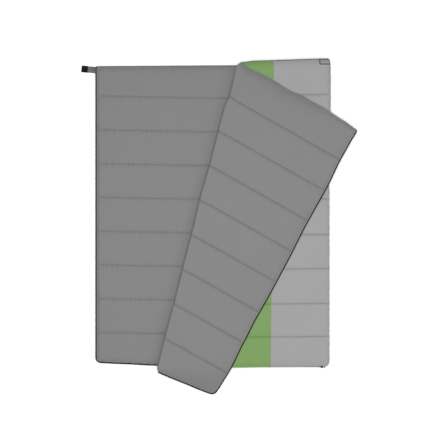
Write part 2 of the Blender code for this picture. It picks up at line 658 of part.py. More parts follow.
def prism(profile, along, axis):
    """A closed profile carried straight between two places along X or Y."""
    count = len(profile)
    points = []
    for place in along:
        for a, b in profile:
            points.append((a, place, b) if axis == "Y" else (place, a, b))
    faces = [(k, (k + 1) % count, (k + 1) % count + count, k + count) for k in range(count)]
    faces.append(tuple(reversed(range(count))))
    faces.append(tuple(range(count, 2 * count)))
    points = np.array(points)
    return points, outward(points, faces)


def joined(first, second):
    """One closed solid from two that overlap."""
    holders = []
    for points, faces in (first, second):
        mesh = bpy.data.meshes.new("join")
        mesh.from_pydata([tuple(p) for p in points], [], [tuple(f) for f in faces])
        holder = bpy.data.objects.new("join", mesh)
        bpy.context.collection.objects.link(holder)
        holders.append(holder)
    union = holders[0].modifiers.new("join", "BOOLEAN")
    union.operation = "UNION"
    union.solver = "EXACT"
    union.object = holders[1]
    bpy.context.view_layer.update()
    result = bpy.data.meshes.new_from_object(
        holders[0].evaluated_get(bpy.context.evaluated_depsgraph_get()))
    points = np.array([v.co[:] for v in result.vertices])
    faces = [tuple(p.vertices) for p in result.polygons]
    for holder in holders:
        bpy.data.objects.remove(holder, do_unlink=True)
    bpy.data.meshes.remove(result)
    return points, faces


UP = SLIDER_HALF_HEIGHT
C_PROFILE = [(SLIDER_INNER, -UP), (SLIDER_OUTER, -UP), (SLIDER_OUTER, UP), (SLIDER_INNER, UP),
             (SLIDER_INNER, SLOT_UP), (ROOM_IN, SLOT_UP), (ROOM_IN, ROOM_UP),
             (ROOM_OUT, ROOM_UP), (ROOM_OUT, -ROOM_UP), (ROOM_IN, -ROOM_UP),
             (ROOM_IN, -SLOT_UP), (SLIDER_INNER, -SLOT_UP)]
body = prism([(LEFT - u, BACK_MIDDLE + z) for u, z in C_PROFILE],
             (SLIDER_Y - SLIDER_LENGTH / 2, SLIDER_Y + SLIDER_LENGTH / 2), "Y")
BAIL_IN = BAIL_HALF_LENGTH - BAIL_THICKNESS
BAIL_UNDER = BAIL_TOP - BAIL_THICKNESS
ARCH = [(-BAIL_HALF_LENGTH, UP - 0.0006), (-BAIL_IN, UP - 0.0006), (-BAIL_IN, BAIL_UNDER),
        (BAIL_IN, BAIL_UNDER), (BAIL_IN, UP - 0.0006), (BAIL_HALF_LENGTH, UP - 0.0006),
        (BAIL_HALF_LENGTH, BAIL_TOP - 0.0006), (BAIL_HALF_LENGTH - 0.0008, BAIL_TOP),
        (-BAIL_HALF_LENGTH + 0.0008, BAIL_TOP), (-BAIL_HALF_LENGTH, BAIL_TOP - 0.0006)]
bail = prism([(SLIDER_Y + y, BACK_MIDDLE + z) for y, z in ARCH],
             (PULL_AXIS[0] - BAIL_HALF_WIDTH, PULL_AXIS[0] + BAIL_HALF_WIDTH), "X")
points, faces = joined(body, bail)
add_piece("zip_slider", points, faces, "metal_black", (LEFT - COIL_OUT, SLIDER_Y, BACK_MIDDLE))

BAR = PULL_HALF_THICKNESS
RING = [(-PULL_ARM - 0.0014, BAR), (PULL_ARM + 0.0014, BAR), (PULL_HALF_WIDTH, -0.006),
        (PULL_HALF_WIDTH, -PULL_LENGTH + 0.003), (PULL_HALF_WIDTH - 0.002, -PULL_LENGTH),
        (-PULL_HALF_WIDTH + 0.002, -PULL_LENGTH), (-PULL_HALF_WIDTH, -PULL_LENGTH + 0.003),
        (-PULL_HALF_WIDTH, -0.006)]
WINDOW = [(-PULL_ARM, -BAR), (PULL_ARM, -BAR), (PULL_ARM, -WINDOW_LENGTH),
          (-PULL_ARM, -WINDOW_LENGTH)]


class Outline:
    """A flat outline with one window, cut into triangles."""

    def __init__(self, ring, window, centre):
        count = len(ring)
        places = [Vector((centre[0] + x, centre[1] + y)) for x, y in [*ring, *window]]
        edges = [(k, (k + 1) % count) for k in range(count)]
        edges += [(count + k, count + (k + 1) % len(window)) for k in range(len(window))]
        made = delaunay_2d_cdt(places, edges, [], 0, 1e-7)
        self.points = np.array([tuple(p) for p in made[0]])
        self.triangles = np.array([f for f in made[2] if len(f) == 3])
        middles = self.points[self.triangles].mean(axis=1) - np.array(centre)
        inside = (np.abs(middles[:, 0]) < PULL_ARM) & (middles[:, 1] < -BAR)
        inside &= middles[:, 1] > -WINDOW_LENGTH
        start, step, out = edge_frames(ring)
        far = np.einsum("pej,ej->pe", middles[:, None, :] - start[None], out)
        self.chosen = (far < 0).all(axis=1) & ~inside


pull = Outline(RING, WINDOW, PULL_AXIS[:2])
level = np.zeros(len(pull.points))
points, faces = plate(pull, pull.chosen, level - BAR, level + BAR, PULL_AXIS[2])
add_piece("zip_pull", points, faces, "metal_black", PULL_AXIS)

# --- Tab: its root under the back layer, the strap that folds over, and the hook patch


def strap(x_near, x_far, half_width, low, high):
    """A flat strap across the left edge that climbs towards the head as it runs out."""
    points = []
    for z in (low, high):
        for x in (x_near, x_far):
            middle = TAB_MIDDLE_Y + TAB_RISE * (TAB_AXIS_X - x)
            points += [(x, middle - half_width, z), (x, middle + half_width, z)]
    faces = [(0, 1, 3, 2), (6, 7, 5, 4), (0, 4, 5, 1), (1, 5, 7, 3), (3, 7, 6, 2), (2, 6, 4, 0)]
    points = np.array(points)
    return points, outward(points, faces)


TAB_ORIGIN = (TAB_AXIS_X, TAB_MIDDLE_Y, TAB_AXIS_Z)
STRAP_LOW, STRAP_HIGH = GAP, GAP + TAB_THICKNESS
points, faces = strap(TAB_AXIS_X + GAP, LEFT + TAB_ROOT, TAB_WIDTH / 2, STRAP_LOW, STRAP_HIGH)
add_piece("tab_root", points, faces, "binding_grey")
points, faces = strap(TAB_AXIS_X, TAB_AXIS_X - TAB_LENGTH, TAB_WIDTH / 2,
                      STRAP_LOW, STRAP_HIGH)
add_piece("tab_strap", points, faces, "liner_grey", TAB_ORIGIN)
points, faces = strap(HOOK_NEAR, HOOK_NEAR - HOOK_LENGTH, TAB_WIDTH / 2 - HOOK_MARGIN,
                      STRAP_HIGH + GAP, HOOK_TOP)
add_piece("hook_patch", points, faces, "hook_black", TAB_ORIGIN)
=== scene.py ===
import math

import bmesh
import bpy
import numpy as np
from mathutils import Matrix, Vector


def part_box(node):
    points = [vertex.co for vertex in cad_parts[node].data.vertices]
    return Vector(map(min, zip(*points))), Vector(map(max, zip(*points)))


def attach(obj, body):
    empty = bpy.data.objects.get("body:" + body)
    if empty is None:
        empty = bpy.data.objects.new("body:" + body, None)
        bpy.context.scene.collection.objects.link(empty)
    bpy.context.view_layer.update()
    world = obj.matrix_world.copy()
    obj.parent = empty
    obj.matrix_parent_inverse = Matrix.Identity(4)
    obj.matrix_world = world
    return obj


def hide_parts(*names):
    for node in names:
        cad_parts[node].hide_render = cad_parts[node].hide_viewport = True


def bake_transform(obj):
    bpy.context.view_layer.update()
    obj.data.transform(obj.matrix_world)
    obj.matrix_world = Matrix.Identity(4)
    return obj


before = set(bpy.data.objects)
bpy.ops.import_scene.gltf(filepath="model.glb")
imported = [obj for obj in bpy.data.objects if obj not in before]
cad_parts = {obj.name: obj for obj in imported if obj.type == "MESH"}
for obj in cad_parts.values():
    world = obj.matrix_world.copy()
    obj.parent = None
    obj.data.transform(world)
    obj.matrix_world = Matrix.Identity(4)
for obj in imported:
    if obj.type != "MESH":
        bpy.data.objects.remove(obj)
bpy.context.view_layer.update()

# ---------------------------------------------------------------------------
# The back layer: a shell and a liner of downproof polyester with a sheet of fill between them,
# sewn round the edge and quilted with eight straight rows of lockstitch. It lies flat on its shell.

BACK_LEFT, BACK_RIGHT = -0.7305, 0.73035
BACK_HEAD = (0.934, 0.944)           # head edge at the left and right ends
BACK_FOOT = (-0.918, -0.945)
BACK_SEWN = ((0.751, 0.724), (0.5388, 0.5119), (0.3266, 0.2998), (0.1145, 0.0877),
             (-0.0977, -0.1244), (-0.3099, -0.3366), (-0.522, -0.5488), (-0.734, -0.761))
BACK_MIDDLE = 0.0108                 # height of the middle of the layer
ZIP_HEAD_RADIUS, SIDE_HEAD_RADIUS, FOOT_RADIUS = 0.012, 0.012, 0.026
LOFT = 0.0100                        # half thickness between the sewn lines
EDGE = 0.0008                        # half thickness at the edge
MARGIN = 0.009                       # flat margin outside the fill
SHOULDER = 0.034
CLOSED_SHOULDER = 0.020              # at the closed side, which has no margin
VALLEY = 0.026                       # half width of the valley at a sewn line
DIP = 0.62                           # its depth, as a share of the loft
# outward bow at shares of an edge's length, in mm
CLOSED_BOW = ((0, 0.1, 0.4, 1), (0, 0, -4, -4))
FOOT_BOW = ((0, 0.1, 0.25, 0.5, 1), (0, 4, 10, 12, 0))
# distances of the grid lines beside an edge and beside a sewn line
NEAR_EDGE = (0, 0.004, 0.009, 0.014, 0.022, 0.033)
NEAR_LINE = (0, 0.004, 0.010, 0.019, 0.030)
ON_LINE = 0.0005                     # a grid vertex nearer than this to a line is on it
PUFF_MOST = 0.0045                   # how far the blown-up cloth may move
PUFF_FRAMES = 20


def slant(ends):
    """A straight line across the quilt: height as a function of x from its left and right ends."""
    low, high = ends
    return lambda x: low + (high - low) * (x - BACK_LEFT) / (BACK_RIGHT - BACK_LEFT)


def eased(share, table):
    """A smooth curve through a table of shares and millimetres, in metres."""
    at, values = np.array(table[0], float), np.array(table[1], float)
    k = np.clip(np.searchsorted(at, share, "right") - 1, 0, len(at) - 2)
    t = np.clip((share - at[k]) / (at[k + 1] - at[k]), 0, 1)
    return (values[k] + (values[k + 1] - values[k]) * t * t * (3 - 2 * t)) / 1000


def stations(near_first, near_last, count):
    """Grid lines across a strip of width w, as pairs (a, b) meaning a + b * w.

    Fixed distances from the first side, count even steps, then fixed distances from the last."""
    first, last = np.array(near_first), np.array(near_last)
    step = np.linspace(0, 1, count + 2)[1:-1]
    fixed = np.concatenate([first, first[-1] * (1 - step) - last[-1] * step, -last[::-1]])
    share = np.concatenate([0 * first, step, 1 + 0 * last])
    return fixed, share


def rise(t):
    """A quarter circle: 0 below 0, 1 above 1, upright at its foot and level at its top."""
    return np.sqrt(1 - (1 - np.clip(t, 0, 1)) ** 2)


def plan_grid(columns, column_tables, rows, row_tables):
    """A grid whose columns run between border lines x(y) and whose rows run between lines y(x).

    A column is at p + a + b * (q - p) between its borders p and q, a row likewise. The two
    families depend on each other, so they are worked out in turn until they settle."""
    def lay(borders, tables, at, axis):
        out, start = [], 0
        for p, q, (a, b) in zip(borders, borders[1:], tables):
            part = np.take(at, np.arange(start, start + len(a)), axis=axis)
            if axis == 0:
                a, b = a[:, None], b[:, None]
            low, high = p(part), q(part)
            out.append(low + np.sign(high - low) * a + b * (high - low))
            start += part.shape[axis]
        return np.concatenate(out, axis=axis)

    row_count = sum(len(t[0]) for t in row_tables)
    column_count = sum(len(t[0]) for t in column_tables)
    y = np.repeat(np.linspace(rows[0](0.0), rows[-1](0.0), row_count)[:, None], column_count, 1)
    for _ in range(12):
        x = lay(columns, column_tables, y, 1)
        y = lay(rows, row_tables, x, 0)
    return x, y


def round_corner(x, y, side, end, sx, sy, radius):
    """Draws the grid in at a corner: the square block of that radius becomes a quarter disc.

    With p and q the distances from its inner corner as shares of the radius, p becomes
    p * sqrt(1 - q * q / 2), and q likewise."""
    dx, dy = (x - side(y)) * sx, (y - end(x)) * sy
    block = (dx < radius) & (dy < radius)
    p, q = 1 - dx / radius, 1 - dy / radius
    new_x = side(y) + sx * radius * (1 - p * np.sqrt(np.clip(1 - q * q / 2, 0, 1)))
    new_y = end(x) + sy * radius * (1 - q * np.sqrt(np.clip(1 - p * p / 2, 0, 1)))
    return np.where(block, new_x, x), np.where(block, new_y, y)


def quilted(x, y, sides, ends, sewn, loft):
    """Half thickness of a quilted layer, and the distance to its nearest sewn line.

    A quarter circle up from each side, inside a flat margin except at the closed side, times a
    valley of quarter circles at each sewn line."""
    left, right = sides
    head, foot = ends
    swell = rise((right(y) - x) / CLOSED_SHOULDER)
    for d in (x - left(y), head(x) - y, y - foot(x)):
        swell = swell * rise((d - MARGIN) / SHOULDER)
    line = np.min([np.abs(y - row(x)) for row in sewn], axis=0)
    valley = 1 - DIP * (1 - rise(line / VALLEY))
    return EDGE + (loft - EDGE) * swell * valley, line


def in_scene(name, data):
    """A new object at the origin with this mesh, light or camera."""
    obj = bpy.data.objects.new(name, data)
    bpy.context.scene.collection.objects.link(obj)
    return obj


def closed_pillow(name, x, y, half, middle):
    """A closed skin over a plan grid: an upper sheet half above the middle and a lower one half
    below it, sharing the vertices of the rim. Returns the object and the lower sheet's indices."""
    rows, columns = x.shape
    upper = np.arange(rows * columns).reshape(rows, columns)
    lower = upper.copy()
    lower[1:-1, 1:-1] = rows * columns + np.arange((rows - 2) * (columns - 2)).reshape(
        rows - 2, columns - 2)
    rim = np.ones_like(x, bool)
    rim[1:-1, 1:-1] = False
    top = np.stack([x, y, middle + np.where(rim, 0, half)], -1).reshape(-1, 3)
    bottom = np.stack([x, y, middle - half], -1)[1:-1, 1:-1].reshape(-1, 3)
    a, b, c, d = upper[1:, :-1], upper[1:, 1:], upper[:-1, 1:], upper[:-1, :-1]
    e, f, g, h = lower[:-1, :-1], lower[:-1, 1:], lower[1:, 1:], lower[1:, :-1]
    faces = np.concatenate([np.stack([a, b, c, d], -1).reshape(-1, 4),
                            np.stack([e, f, g, h], -1).reshape(-1, 4)])
    mesh = bpy.data.meshes.new(name)
    mesh.from_pydata(np.concatenate([top, bottom]).tolist(), [], faces.tolist())
    mesh.shade_smooth()
    ends = np.empty(len(mesh.edges) * 2, np.int32)
    mesh.edges.foreach_get("vertices", ends)
    on_rim = np.zeros(len(mesh.vertices), bool)
    on_rim[upper[rim]] = True
    sharp = on_rim[ends.reshape(-1, 2)].all(axis=1).astype(np.float32)
    mesh.attributes.new("crease_edge", "FLOAT", "EDGE").data.foreach_set("value", sharp)
    return in_scene(name, mesh), upper, lower


def places(obj):
    """The object's vertices as an array."""
    out = np.empty(len(obj.data.vertices) * 3)
    obj.data.vertices.foreach_get("co", out)
    return out.reshape(-1, 3)


def place(obj, points):
    """Writes an array of vertices back to the object."""
    obj.data.vertices.foreach_set("co", np.ascontiguousarray(points, dtype=np.float32).ravel())
    obj.data.update()


def give(obj, name, values):
    """A named value for every vertex, for the materials to read."""
    kind = "FLOAT_VECTOR" if values.ndim == 2 else "FLOAT"
    made = obj.data.attributes.new(name, kind, "POINT")
    made.data.foreach_set("vector" if values.ndim == 2 else "value",
                          np.ascontiguousarray(values, dtype=np.float32).ravel())


def puff(obj, held, middle):
    """Blows the pillow up by cloth simulation, with the held vertices sewn fast.

    The fabric is cut 1.5% larger than its plan, so it gathers at the sewn lines. A move m is
    eased to PUFF_MOST * tanh(m / PUFF_MOST), and heights to LOFT + 0.6 mm about the middle."""
    start = places(obj)
    group = obj.vertex_groups.new(name="sewn")
    group.add(np.flatnonzero(held).tolist(), 1.0, "REPLACE")
    cloth = obj.modifiers.new("puff", "CLOTH")
    settings = cloth.settings
    settings.quality = 4
    settings.mass = 0.12
    settings.tension_stiffness = settings.compression_stiffness = 12
    settings.shear_stiffness = 4
    settings.bending_stiffness = 0.15
    settings.use_pressure = True
    settings.uniform_pressure_force = 4
    settings.vertex_group_mass = group.name
    settings.shrink_min = -0.015
    settings.effector_weights.gravity = 0
    cloth.collision_settings.use_collision = False
    cloth.collision_settings.use_self_collision = False
    cloth.point_cache.frame_start, cloth.point_cache.frame_end = 1, PUFF_FRAMES
    for step in range(1, PUFF_FRAMES + 1):
        bpy.context.scene.frame_set(step)
    swollen = obj.evaluated_get(bpy.context.evaluated_depsgraph_get())
    moved = np.empty(len(start) * 3)
    swollen.data.vertices.foreach_get("co", moved)
    obj.modifiers.remove(cloth)
    obj.vertex_groups.remove(group)
    bpy.context.scene.frame_set(1)
    change = moved.reshape(-1, 3) - start
    size = np.linalg.norm(change, axis=1, keepdims=True) + 1e-9
    points = start + change * PUFF_MOST * np.tanh(size / PUFF_MOST) / size
    limit = LOFT + 0.0006
    height = points[:, 2] - middle
    points[:, 2] = middle + height / (1 + np.abs(height / limit) ** 6) ** (1 / 6)
    place(obj, points)


def smoothed(obj):
    """One round of subdivision, the same in the view and in the render."""
    made = obj.modifiers.new("smooth", "SUBSURF")
    made.levels = made.render_levels = 1


def nodes_of(name, colour, rough):
    """A new Principled material, its node tree and its shader."""
    made = bpy.data.materials.new(name)
    made.use_nodes = True
    shader = made.node_tree.nodes["Principled BSDF"]
    shader.inputs["Base Color"].default_value = (*colour, 1)
    shader.inputs["Roughness"].default_value = rough
    return made, made.node_tree, shader


def node(tree, kind, inputs=(), **settings):
    """A node with settings, and inputs given as values or as other nodes' outputs."""
    made = tree.nodes.new("ShaderNode" + kind)
    for key, value in settings.items():
        setattr(made, key, value)
    for key, value in dict(inputs).items():
        if isinstance(value, bpy.types.NodeSocket):
            tree.links.new(value, made.inputs[key])
        else:
            made.inputs[key].default_value = value
    return made


def maths(tree, operation, *values):
    """The output of a Math node."""
    return node(tree, "Math", dict(enumerate(values)), operation=operation).outputs[0]


def two_tone(tree, shader, share, low, high):
    """Colours the shader from low to high by a share."""
    tone = node(tree, "MixRGB", {0: share, 1: (*low, 1), 2: (*high, 1)})
    tree.links.new(tone.outputs[0], shader.inputs["Base Color"])


def bumped(tree, shader, height, strength, distance):
    """Puts a height through a Bump node into the shader's normal."""
    bump = node(tree, "Bump", {"Strength": strength, "Distance": distance, "Height": height})
    tree.links.new(bump.outputs[0], shader.inputs["Normal"])


def fading(tree, distance, width):
    """One at no distance, and e times less for each width away."""
    return maths(tree, "EXPONENT", maths(tree, "MULTIPLY", distance, -1 / width))


WEAVE_PITCH, WEAVE_DEPTH = 0.0009, 0.00008
CRUMPLE_DEPTH, GATHER_DEPTH = 0.0016, 0.0075
LINE_GATHER, RIM_GATHER = 0.022, 0.020   # how far gathers run from a sewn line and the zip edge
DYE_SPREAD = 0.10
SEAM_X, SEAM_LEAN = 0.369, 0.0105    # the felled seams: 20 mm nearer the middle at the foot
# painted shade: how dark the felled seam's line is painted, its width, and the width of the painted
# shade in the groove of a sewn line
SEAM_SHADE, SEAM_WIDTH, GROOVE_SHADE_WIDTH = 0.6, 0.0016, 0.0032


def cloth_colour(tree, cut, colour):
    """Slight unevenness of dye over the cloth: two scales of noise about a colour."""
    cloud = node(tree, "TexNoise", {"Vector": cut, "Scale": 5.0, "Detail": 4.0})
    fleck = node(tree, "TexNoise", {"Vector": cut, "Scale": 160.0, "Detail": 2.0})
    both = maths(tree, "ADD", maths(tree, "MULTIPLY", cloud.outputs["Fac"], 0.7),
                 maths(tree, "MULTIPLY", fleck.outputs["Fac"], 0.3))
    scaled = maths(tree, "MULTIPLY_ADD", maths(tree, "SUBTRACT", both, 0.5), DYE_SPREAD, 1.0)
    return node(tree, "VectorMath", {0: colour, "Scale": scaled}, operation="SCALE").outputs[0]


def ribs_both_ways(tree, at, scale, distortion):
    """Ribs along x times ribs along y, the height of a plain weave."""
    over, under = (node(tree, "TexWave", {"Vector": at, "Scale": scale, "Distortion": distortion},
                        bands_direction=way).outputs["Fac"] for way in "XY")
    return maths(tree, "MULTIPLY", over, under)


def cloth_bump(tree, cut, line, rim, shader):
    """Height of a plain weave plus soft crumple, gathers across the sewn lines and puckers along
    the zip edge, into the shader's normal. line and rim are distances in metres."""
    weave = ribs_both_ways(tree, cut, math.pi / 10 / WEAVE_PITCH, 0.4)
    crumple = node(tree, "TexNoise", {"Vector": cut, "Scale": 22.0, "Detail": 3.0,
                                      "Roughness": 0.45})
    narrow = node(tree, "Mapping", {"Vector": cut, "Scale": (62.0, 7.0, 1.0)})
    folds = node(tree, "TexNoise", {"Vector": narrow.outputs[0], "Scale": 1.0, "Detail": 1.5})
    by_line = fading(tree, line, LINE_GATHER)
    across = node(tree, "Mapping", {"Vector": cut, "Scale": (7.0, 70.0, 1.0)})
    pleats = node(tree, "TexNoise", {"Vector": across.outputs[0], "Scale": 1.0, "Detail": 1.5})
    by_rim = fading(tree, rim, RIM_GATHER)
    gathers = maths(tree, "ADD", maths(tree, "MULTIPLY", folds.outputs["Fac"], by_line),
                    maths(tree, "MULTIPLY", pleats.outputs["Fac"], by_rim))
    soft = maths(tree, "ADD", maths(tree, "MULTIPLY", crumple.outputs["Fac"], CRUMPLE_DEPTH),
                 maths(tree, "MULTIPLY", gathers, GATHER_DEPTH))
    height = maths(tree, "ADD", maths(tree, "MULTIPLY", weave, WEAVE_DEPTH), soft)
    bumped(tree, shader, height, 1.0, 1.0)


def quilt_cloth(name, colour, other=None, groove_shade_strength=0.25, crease_shade_strength=0.0):
    """Downproof cloth with painted shade: darker by groove_shade_strength in the groove of a sewn
    line, where shade falls, and by crease_shade_strength along the crease, where the roll's
    turned-under side lies in shade.

    With another colour given, the cloth is that colour in the panels outside SEAM_X, where a
    flat-felled seam joins the two."""
    made, tree, shader = nodes_of(name, colour, 0.62)
    shader.inputs["Sheen Weight"].default_value = 0.25
    shader.inputs["Sheen Roughness"].default_value = 0.5
    shader.inputs["Specular IOR Level"].default_value = 0.35
    cut = node(tree, "Attribute", attribute_name="cut").outputs["Vector"]
    line = node(tree, "Attribute", attribute_name="line").outputs["Fac"]
    rim = node(tree, "Attribute", attribute_name="rim").outputs["Fac"]
    tone = cloth_colour(tree, cut, colour)
    # painted shade in the groove of each sewn line
    groove = fading(tree, line, GROOVE_SHADE_WIDTH)
    if other is not None:
        outer = cloth_colour(tree, cut, other)
        parts = node(tree, "SeparateXYZ", {0: cut})
        out_by = maths(tree, "SUBTRACT", maths(tree, "ABSOLUTE", parts.outputs["X"]),
                       maths(tree, "MULTIPLY_ADD", parts.outputs["Y"], SEAM_LEAN, SEAM_X))
        past = maths(tree, "GREATER_THAN", out_by, 0.0)
        mixed = node(tree, "Mix", {0: past, "A": tone, "B": outer}, data_type="VECTOR")
        tone = mixed.outputs[1]
        # painted shade along the line of the felled seam
        near = fading(tree, maths(tree, "ABSOLUTE", out_by), SEAM_WIDTH)
        groove = maths(tree, "MAXIMUM", groove, maths(tree, "MULTIPLY", near, SEAM_SHADE))
    shade = maths(tree, "MULTIPLY_ADD", groove, -groove_shade_strength, 1.0)
    if crease_shade_strength:
        # painted shade along the crease, for the shade on the roll's turned-under side
        crease_shade = node(tree, "Attribute", attribute_name="crease_painted_shade").outputs["Fac"]
        crease_shade = maths(tree, "MULTIPLY_ADD", crease_shade, -crease_shade_strength, 1.0)
        shade = maths(tree, "MULTIPLY", shade, crease_shade)
    final = node(tree, "VectorMath", {0: tone, "Scale": shade}, operation="SCALE").outputs[0]
    tree.links.new(final, shader.inputs["Base Color"])
    cloth_bump(tree, cut, line, rim, shader)
    return made


liner_cloth = quilt_cloth("liner_cloth", (0.162, 0.162, 0.163))
back_shell_cloth = quilt_cloth("back_shell_cloth", (0.256, 0.256, 0.256))

CLOSED_LENGTH = BACK_HEAD[1] - BACK_FOOT[1]


def closed_side(y):
    """The closed side, drawn in a little below the head."""
    return BACK_RIGHT + eased(np.clip((BACK_HEAD[1] - y) / CLOSED_LENGTH, 0, 1), CLOSED_BOW)


def back_foot(x):
    """The back's foot edge, bowed out."""
    share = np.clip((x - BACK_LEFT) / (BACK_RIGHT - BACK_LEFT), 0, 1)
    return slant(BACK_FOOT)(x) - eased(share, FOOT_BOW)


def back_left(y):
    """The back's zip edge, which is straight."""
    return BACK_LEFT + 0 * y


def both_sheets(values, upper, lower):
    """Values of a plan grid for every vertex of the pillow over it."""
    out = np.empty((lower.max() + 1, *values.shape[2:]))
    out[upper.ravel()] = values.reshape(-1, *values.shape[2:])
    out[lower.ravel()] = values.reshape(-1, *values.shape[2:])
    return out


def sewn_fast(line, upper, lower):
    """The vertices that thread holds: the sewn lines and the rim."""
    held = line < ON_LINE
    held[0], held[-1], held[:, 0], held[:, -1] = True, True, True, True
    return both_sheets(held.astype(float), upper, lower) > 0.5


def quilted_layer(name, x, y, sides, rows, middle):
    """A layer's pillow over its grid, with its corners drawn in, and the distances that its cloth
    needs. Returns the object, its two sheets' indices, the grid as drawn in, and the distance to
    the nearest sewn line."""
    head, foot = rows[0], rows[-1]
    half, line = quilted(x, y, sides, (head, foot), rows[1:-1], LOFT)
    rim = np.minimum(x - sides[0](y), y - foot(x))
    for side, sx, head_radius in zip(sides, (1, -1), (ZIP_HEAD_RADIUS, SIDE_HEAD_RADIUS)):
        x, y = round_corner(x, y, side, head, sx, -1, head_radius)
        x, y = round_corner(x, y, side, foot, sx, 1, FOOT_RADIUS)
    obj, upper, lower = closed_pillow(name, x, y, half, middle)
    for what, values in (("cut", np.stack([x, y, 0 * x], -1)), ("line", line), ("rim", rim)):
        give(obj, what, both_sheets(values, upper, lower))
    return obj, upper, lower, x, y, line


def two_cloths(obj, upper, upper_cloth, lower_cloth):
    """One cloth on the faces of the upper sheet and another on those of the lower."""
    for cloth in (upper_cloth, lower_cloth):
        obj.data.materials.append(cloth)
    count = (upper.shape[0] - 1) * (upper.shape[1] - 1)
    obj.data.polygons.foreach_set("material_index", np.repeat([0, 1], count).astype(np.int32))


back_rows = [slant(BACK_HEAD), *[slant(ends) for ends in BACK_SEWN], back_foot]
back_sides = (back_left, closed_side)
head_rows, mid_rows = stations(NEAR_EDGE, NEAR_LINE, 6), stations(NEAR_LINE[1:], NEAR_LINE, 7)
foot_rows = stations(NEAR_LINE[1:], NEAR_EDGE, 6)
x, y = plan_grid(back_sides, [stations(NEAR_EDGE, NEAR_EDGE, 72)], back_rows,
                 [head_rows, *[mid_rows] * 7, foot_rows])
back, back_upper, back_lower, x, y, line = quilted_layer("back_layer", x, y, back_sides,
                                                         back_rows, BACK_MIDDLE)
puff(back, sewn_fast(line, back_upper, back_lower), BACK_MIDDLE)
two_cloths(back, back_upper, liner_cloth, back_shell_cloth)
smoothed(back)
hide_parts("back_shell", "back_fill", "back_liner")
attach(back, "back")

# The quilting thread of the back layer: polyester lockstitch at 3.5 mm, the same dark grey as the
# binding's painted shade. Every row is sewn right through, so it shows on the liner and on the
# shell.

STITCH_PITCH, STITCH_LENGTH, STITCH_RADIUS = 0.0035, 0.0027, 0.0004


def lengths_along(path):
    """The way along a path to each of its points."""
    return np.concatenate([[0], np.cumsum(np.linalg.norm(np.diff(path, axis=0), axis=1))])


def at_lengths(at, run, values):
    """Values given at the lengths of run, for other lengths between them."""
    return np.stack([np.interp(at, run, column) for column in values.T], -1)


def stitches(paths, up):
    """Rows of stitches along paths of points: each stitch is an eight-sided spindle, two points
    on the path and four round its middle. up is the side of the cloth that they lie on."""
    points, faces, start = [], [], 0
    ring = np.array([(0, 2, 4), (0, 4, 3), (0, 3, 5), (0, 5, 2),
                     (1, 4, 2), (1, 3, 4), (1, 5, 3), (1, 2, 5)])
    for path in paths:
        run = lengths_along(path)
        at = np.arange(STITCH_PITCH, run[-1] - STITCH_PITCH, STITCH_PITCH)
        mid = at_lengths(at, run, path)
        reach = at_lengths(at + STITCH_LENGTH / 2, run, path) - mid
        side = np.cross(reach, (0, 0, 1.0))
        side *= STITCH_RADIUS / np.linalg.norm(side, axis=1, keepdims=True)
        lift = np.array([0, 0, up * STITCH_RADIUS])
        mid = mid + lift * 0.6
        six = np.stack([mid - reach, mid + reach, mid + side, mid - side,
                        mid + lift + 0 * mid, mid - lift + 0 * mid], 1)
        if up < 0:
            six = six[:, [0, 1, 3, 2, 4, 5]]
        points.append(six.reshape(-1, 3))
        faces.append((start + 6 * np.arange(len(at))[:, None, None] + ring).reshape(-1, 3))
        start += 6 * len(at)
    return np.concatenate(points), np.concatenate(faces)


SEAM_ENDS = 3                        # grid columns at each end of a row that have no thread


def sewn_paths(obj, index, rows):
    """Where rows of stitches run: the pillow's grid at those rows, as subdivision leaves it,
    an eighth of each neighbour and six eighths of the row, without the ends in the margin."""
    points = places(obj)
    soft = (points[index[rows - 1]] + 6 * points[index[rows]] + points[index[rows + 1]]) / 8
    return [path[SEAM_ENDS:-SEAM_ENDS] for path in soft]


def mesh_piece(name, points, faces, material):
    """A new smooth-shaded object at the origin from vertices and faces."""
    mesh = bpy.data.meshes.new(name)
    mesh.from_pydata(points.tolist(), [],
                     faces.tolist() if isinstance(faces, np.ndarray) else faces)
    mesh.shade_smooth()
    mesh.materials.append(material)
    return in_scene(name, mesh)


def twisted_thread(name, colour):
    """Twisted thread: fine slanted ridges of light and dark on Object coordinates."""
    made, tree, shader = nodes_of(name, colour, 0.55)
    shader.inputs["Sheen Weight"].default_value = 0.2
    here = node(tree, "TexCoord").outputs["Object"]
    twist = node(tree, "TexWave", {"Vector": here, "Scale": 900.0, "Distortion": 1.0},
                 bands_direction="DIAGONAL")
    two_tone(tree, shader, twist.outputs["Fac"], [c * 0.75 for c in colour],
             [c * 1.25 for c in colour])
    bumped(tree, shader, twist.outputs["Fac"], 0.4, 0.0002)
    return made


grey_thread = twisted_thread("grey_thread", (0.118, 0.118, 0.118))
sewn_rows = np.flatnonzero(line[:, 0] < ON_LINE)
for piece, index, up in (("back_stitches_liner", back_upper, 1),
                         ("back_stitches_shell", back_lower, -1)):
    made = mesh_piece(piece, *stitches(sewn_paths(back, index, sewn_rows), up), grey_thread)
    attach(made, "back")

# ---------------------------------------------------------------------------
# The front layer and its flap: one more quilted layer, with a green band between two light grey
# panels on the shell. It is creased on a slanted line and the part left of the crease lies turned
# over on the rest, liner up. It is made flat, as if closed, and then folded round the crease.

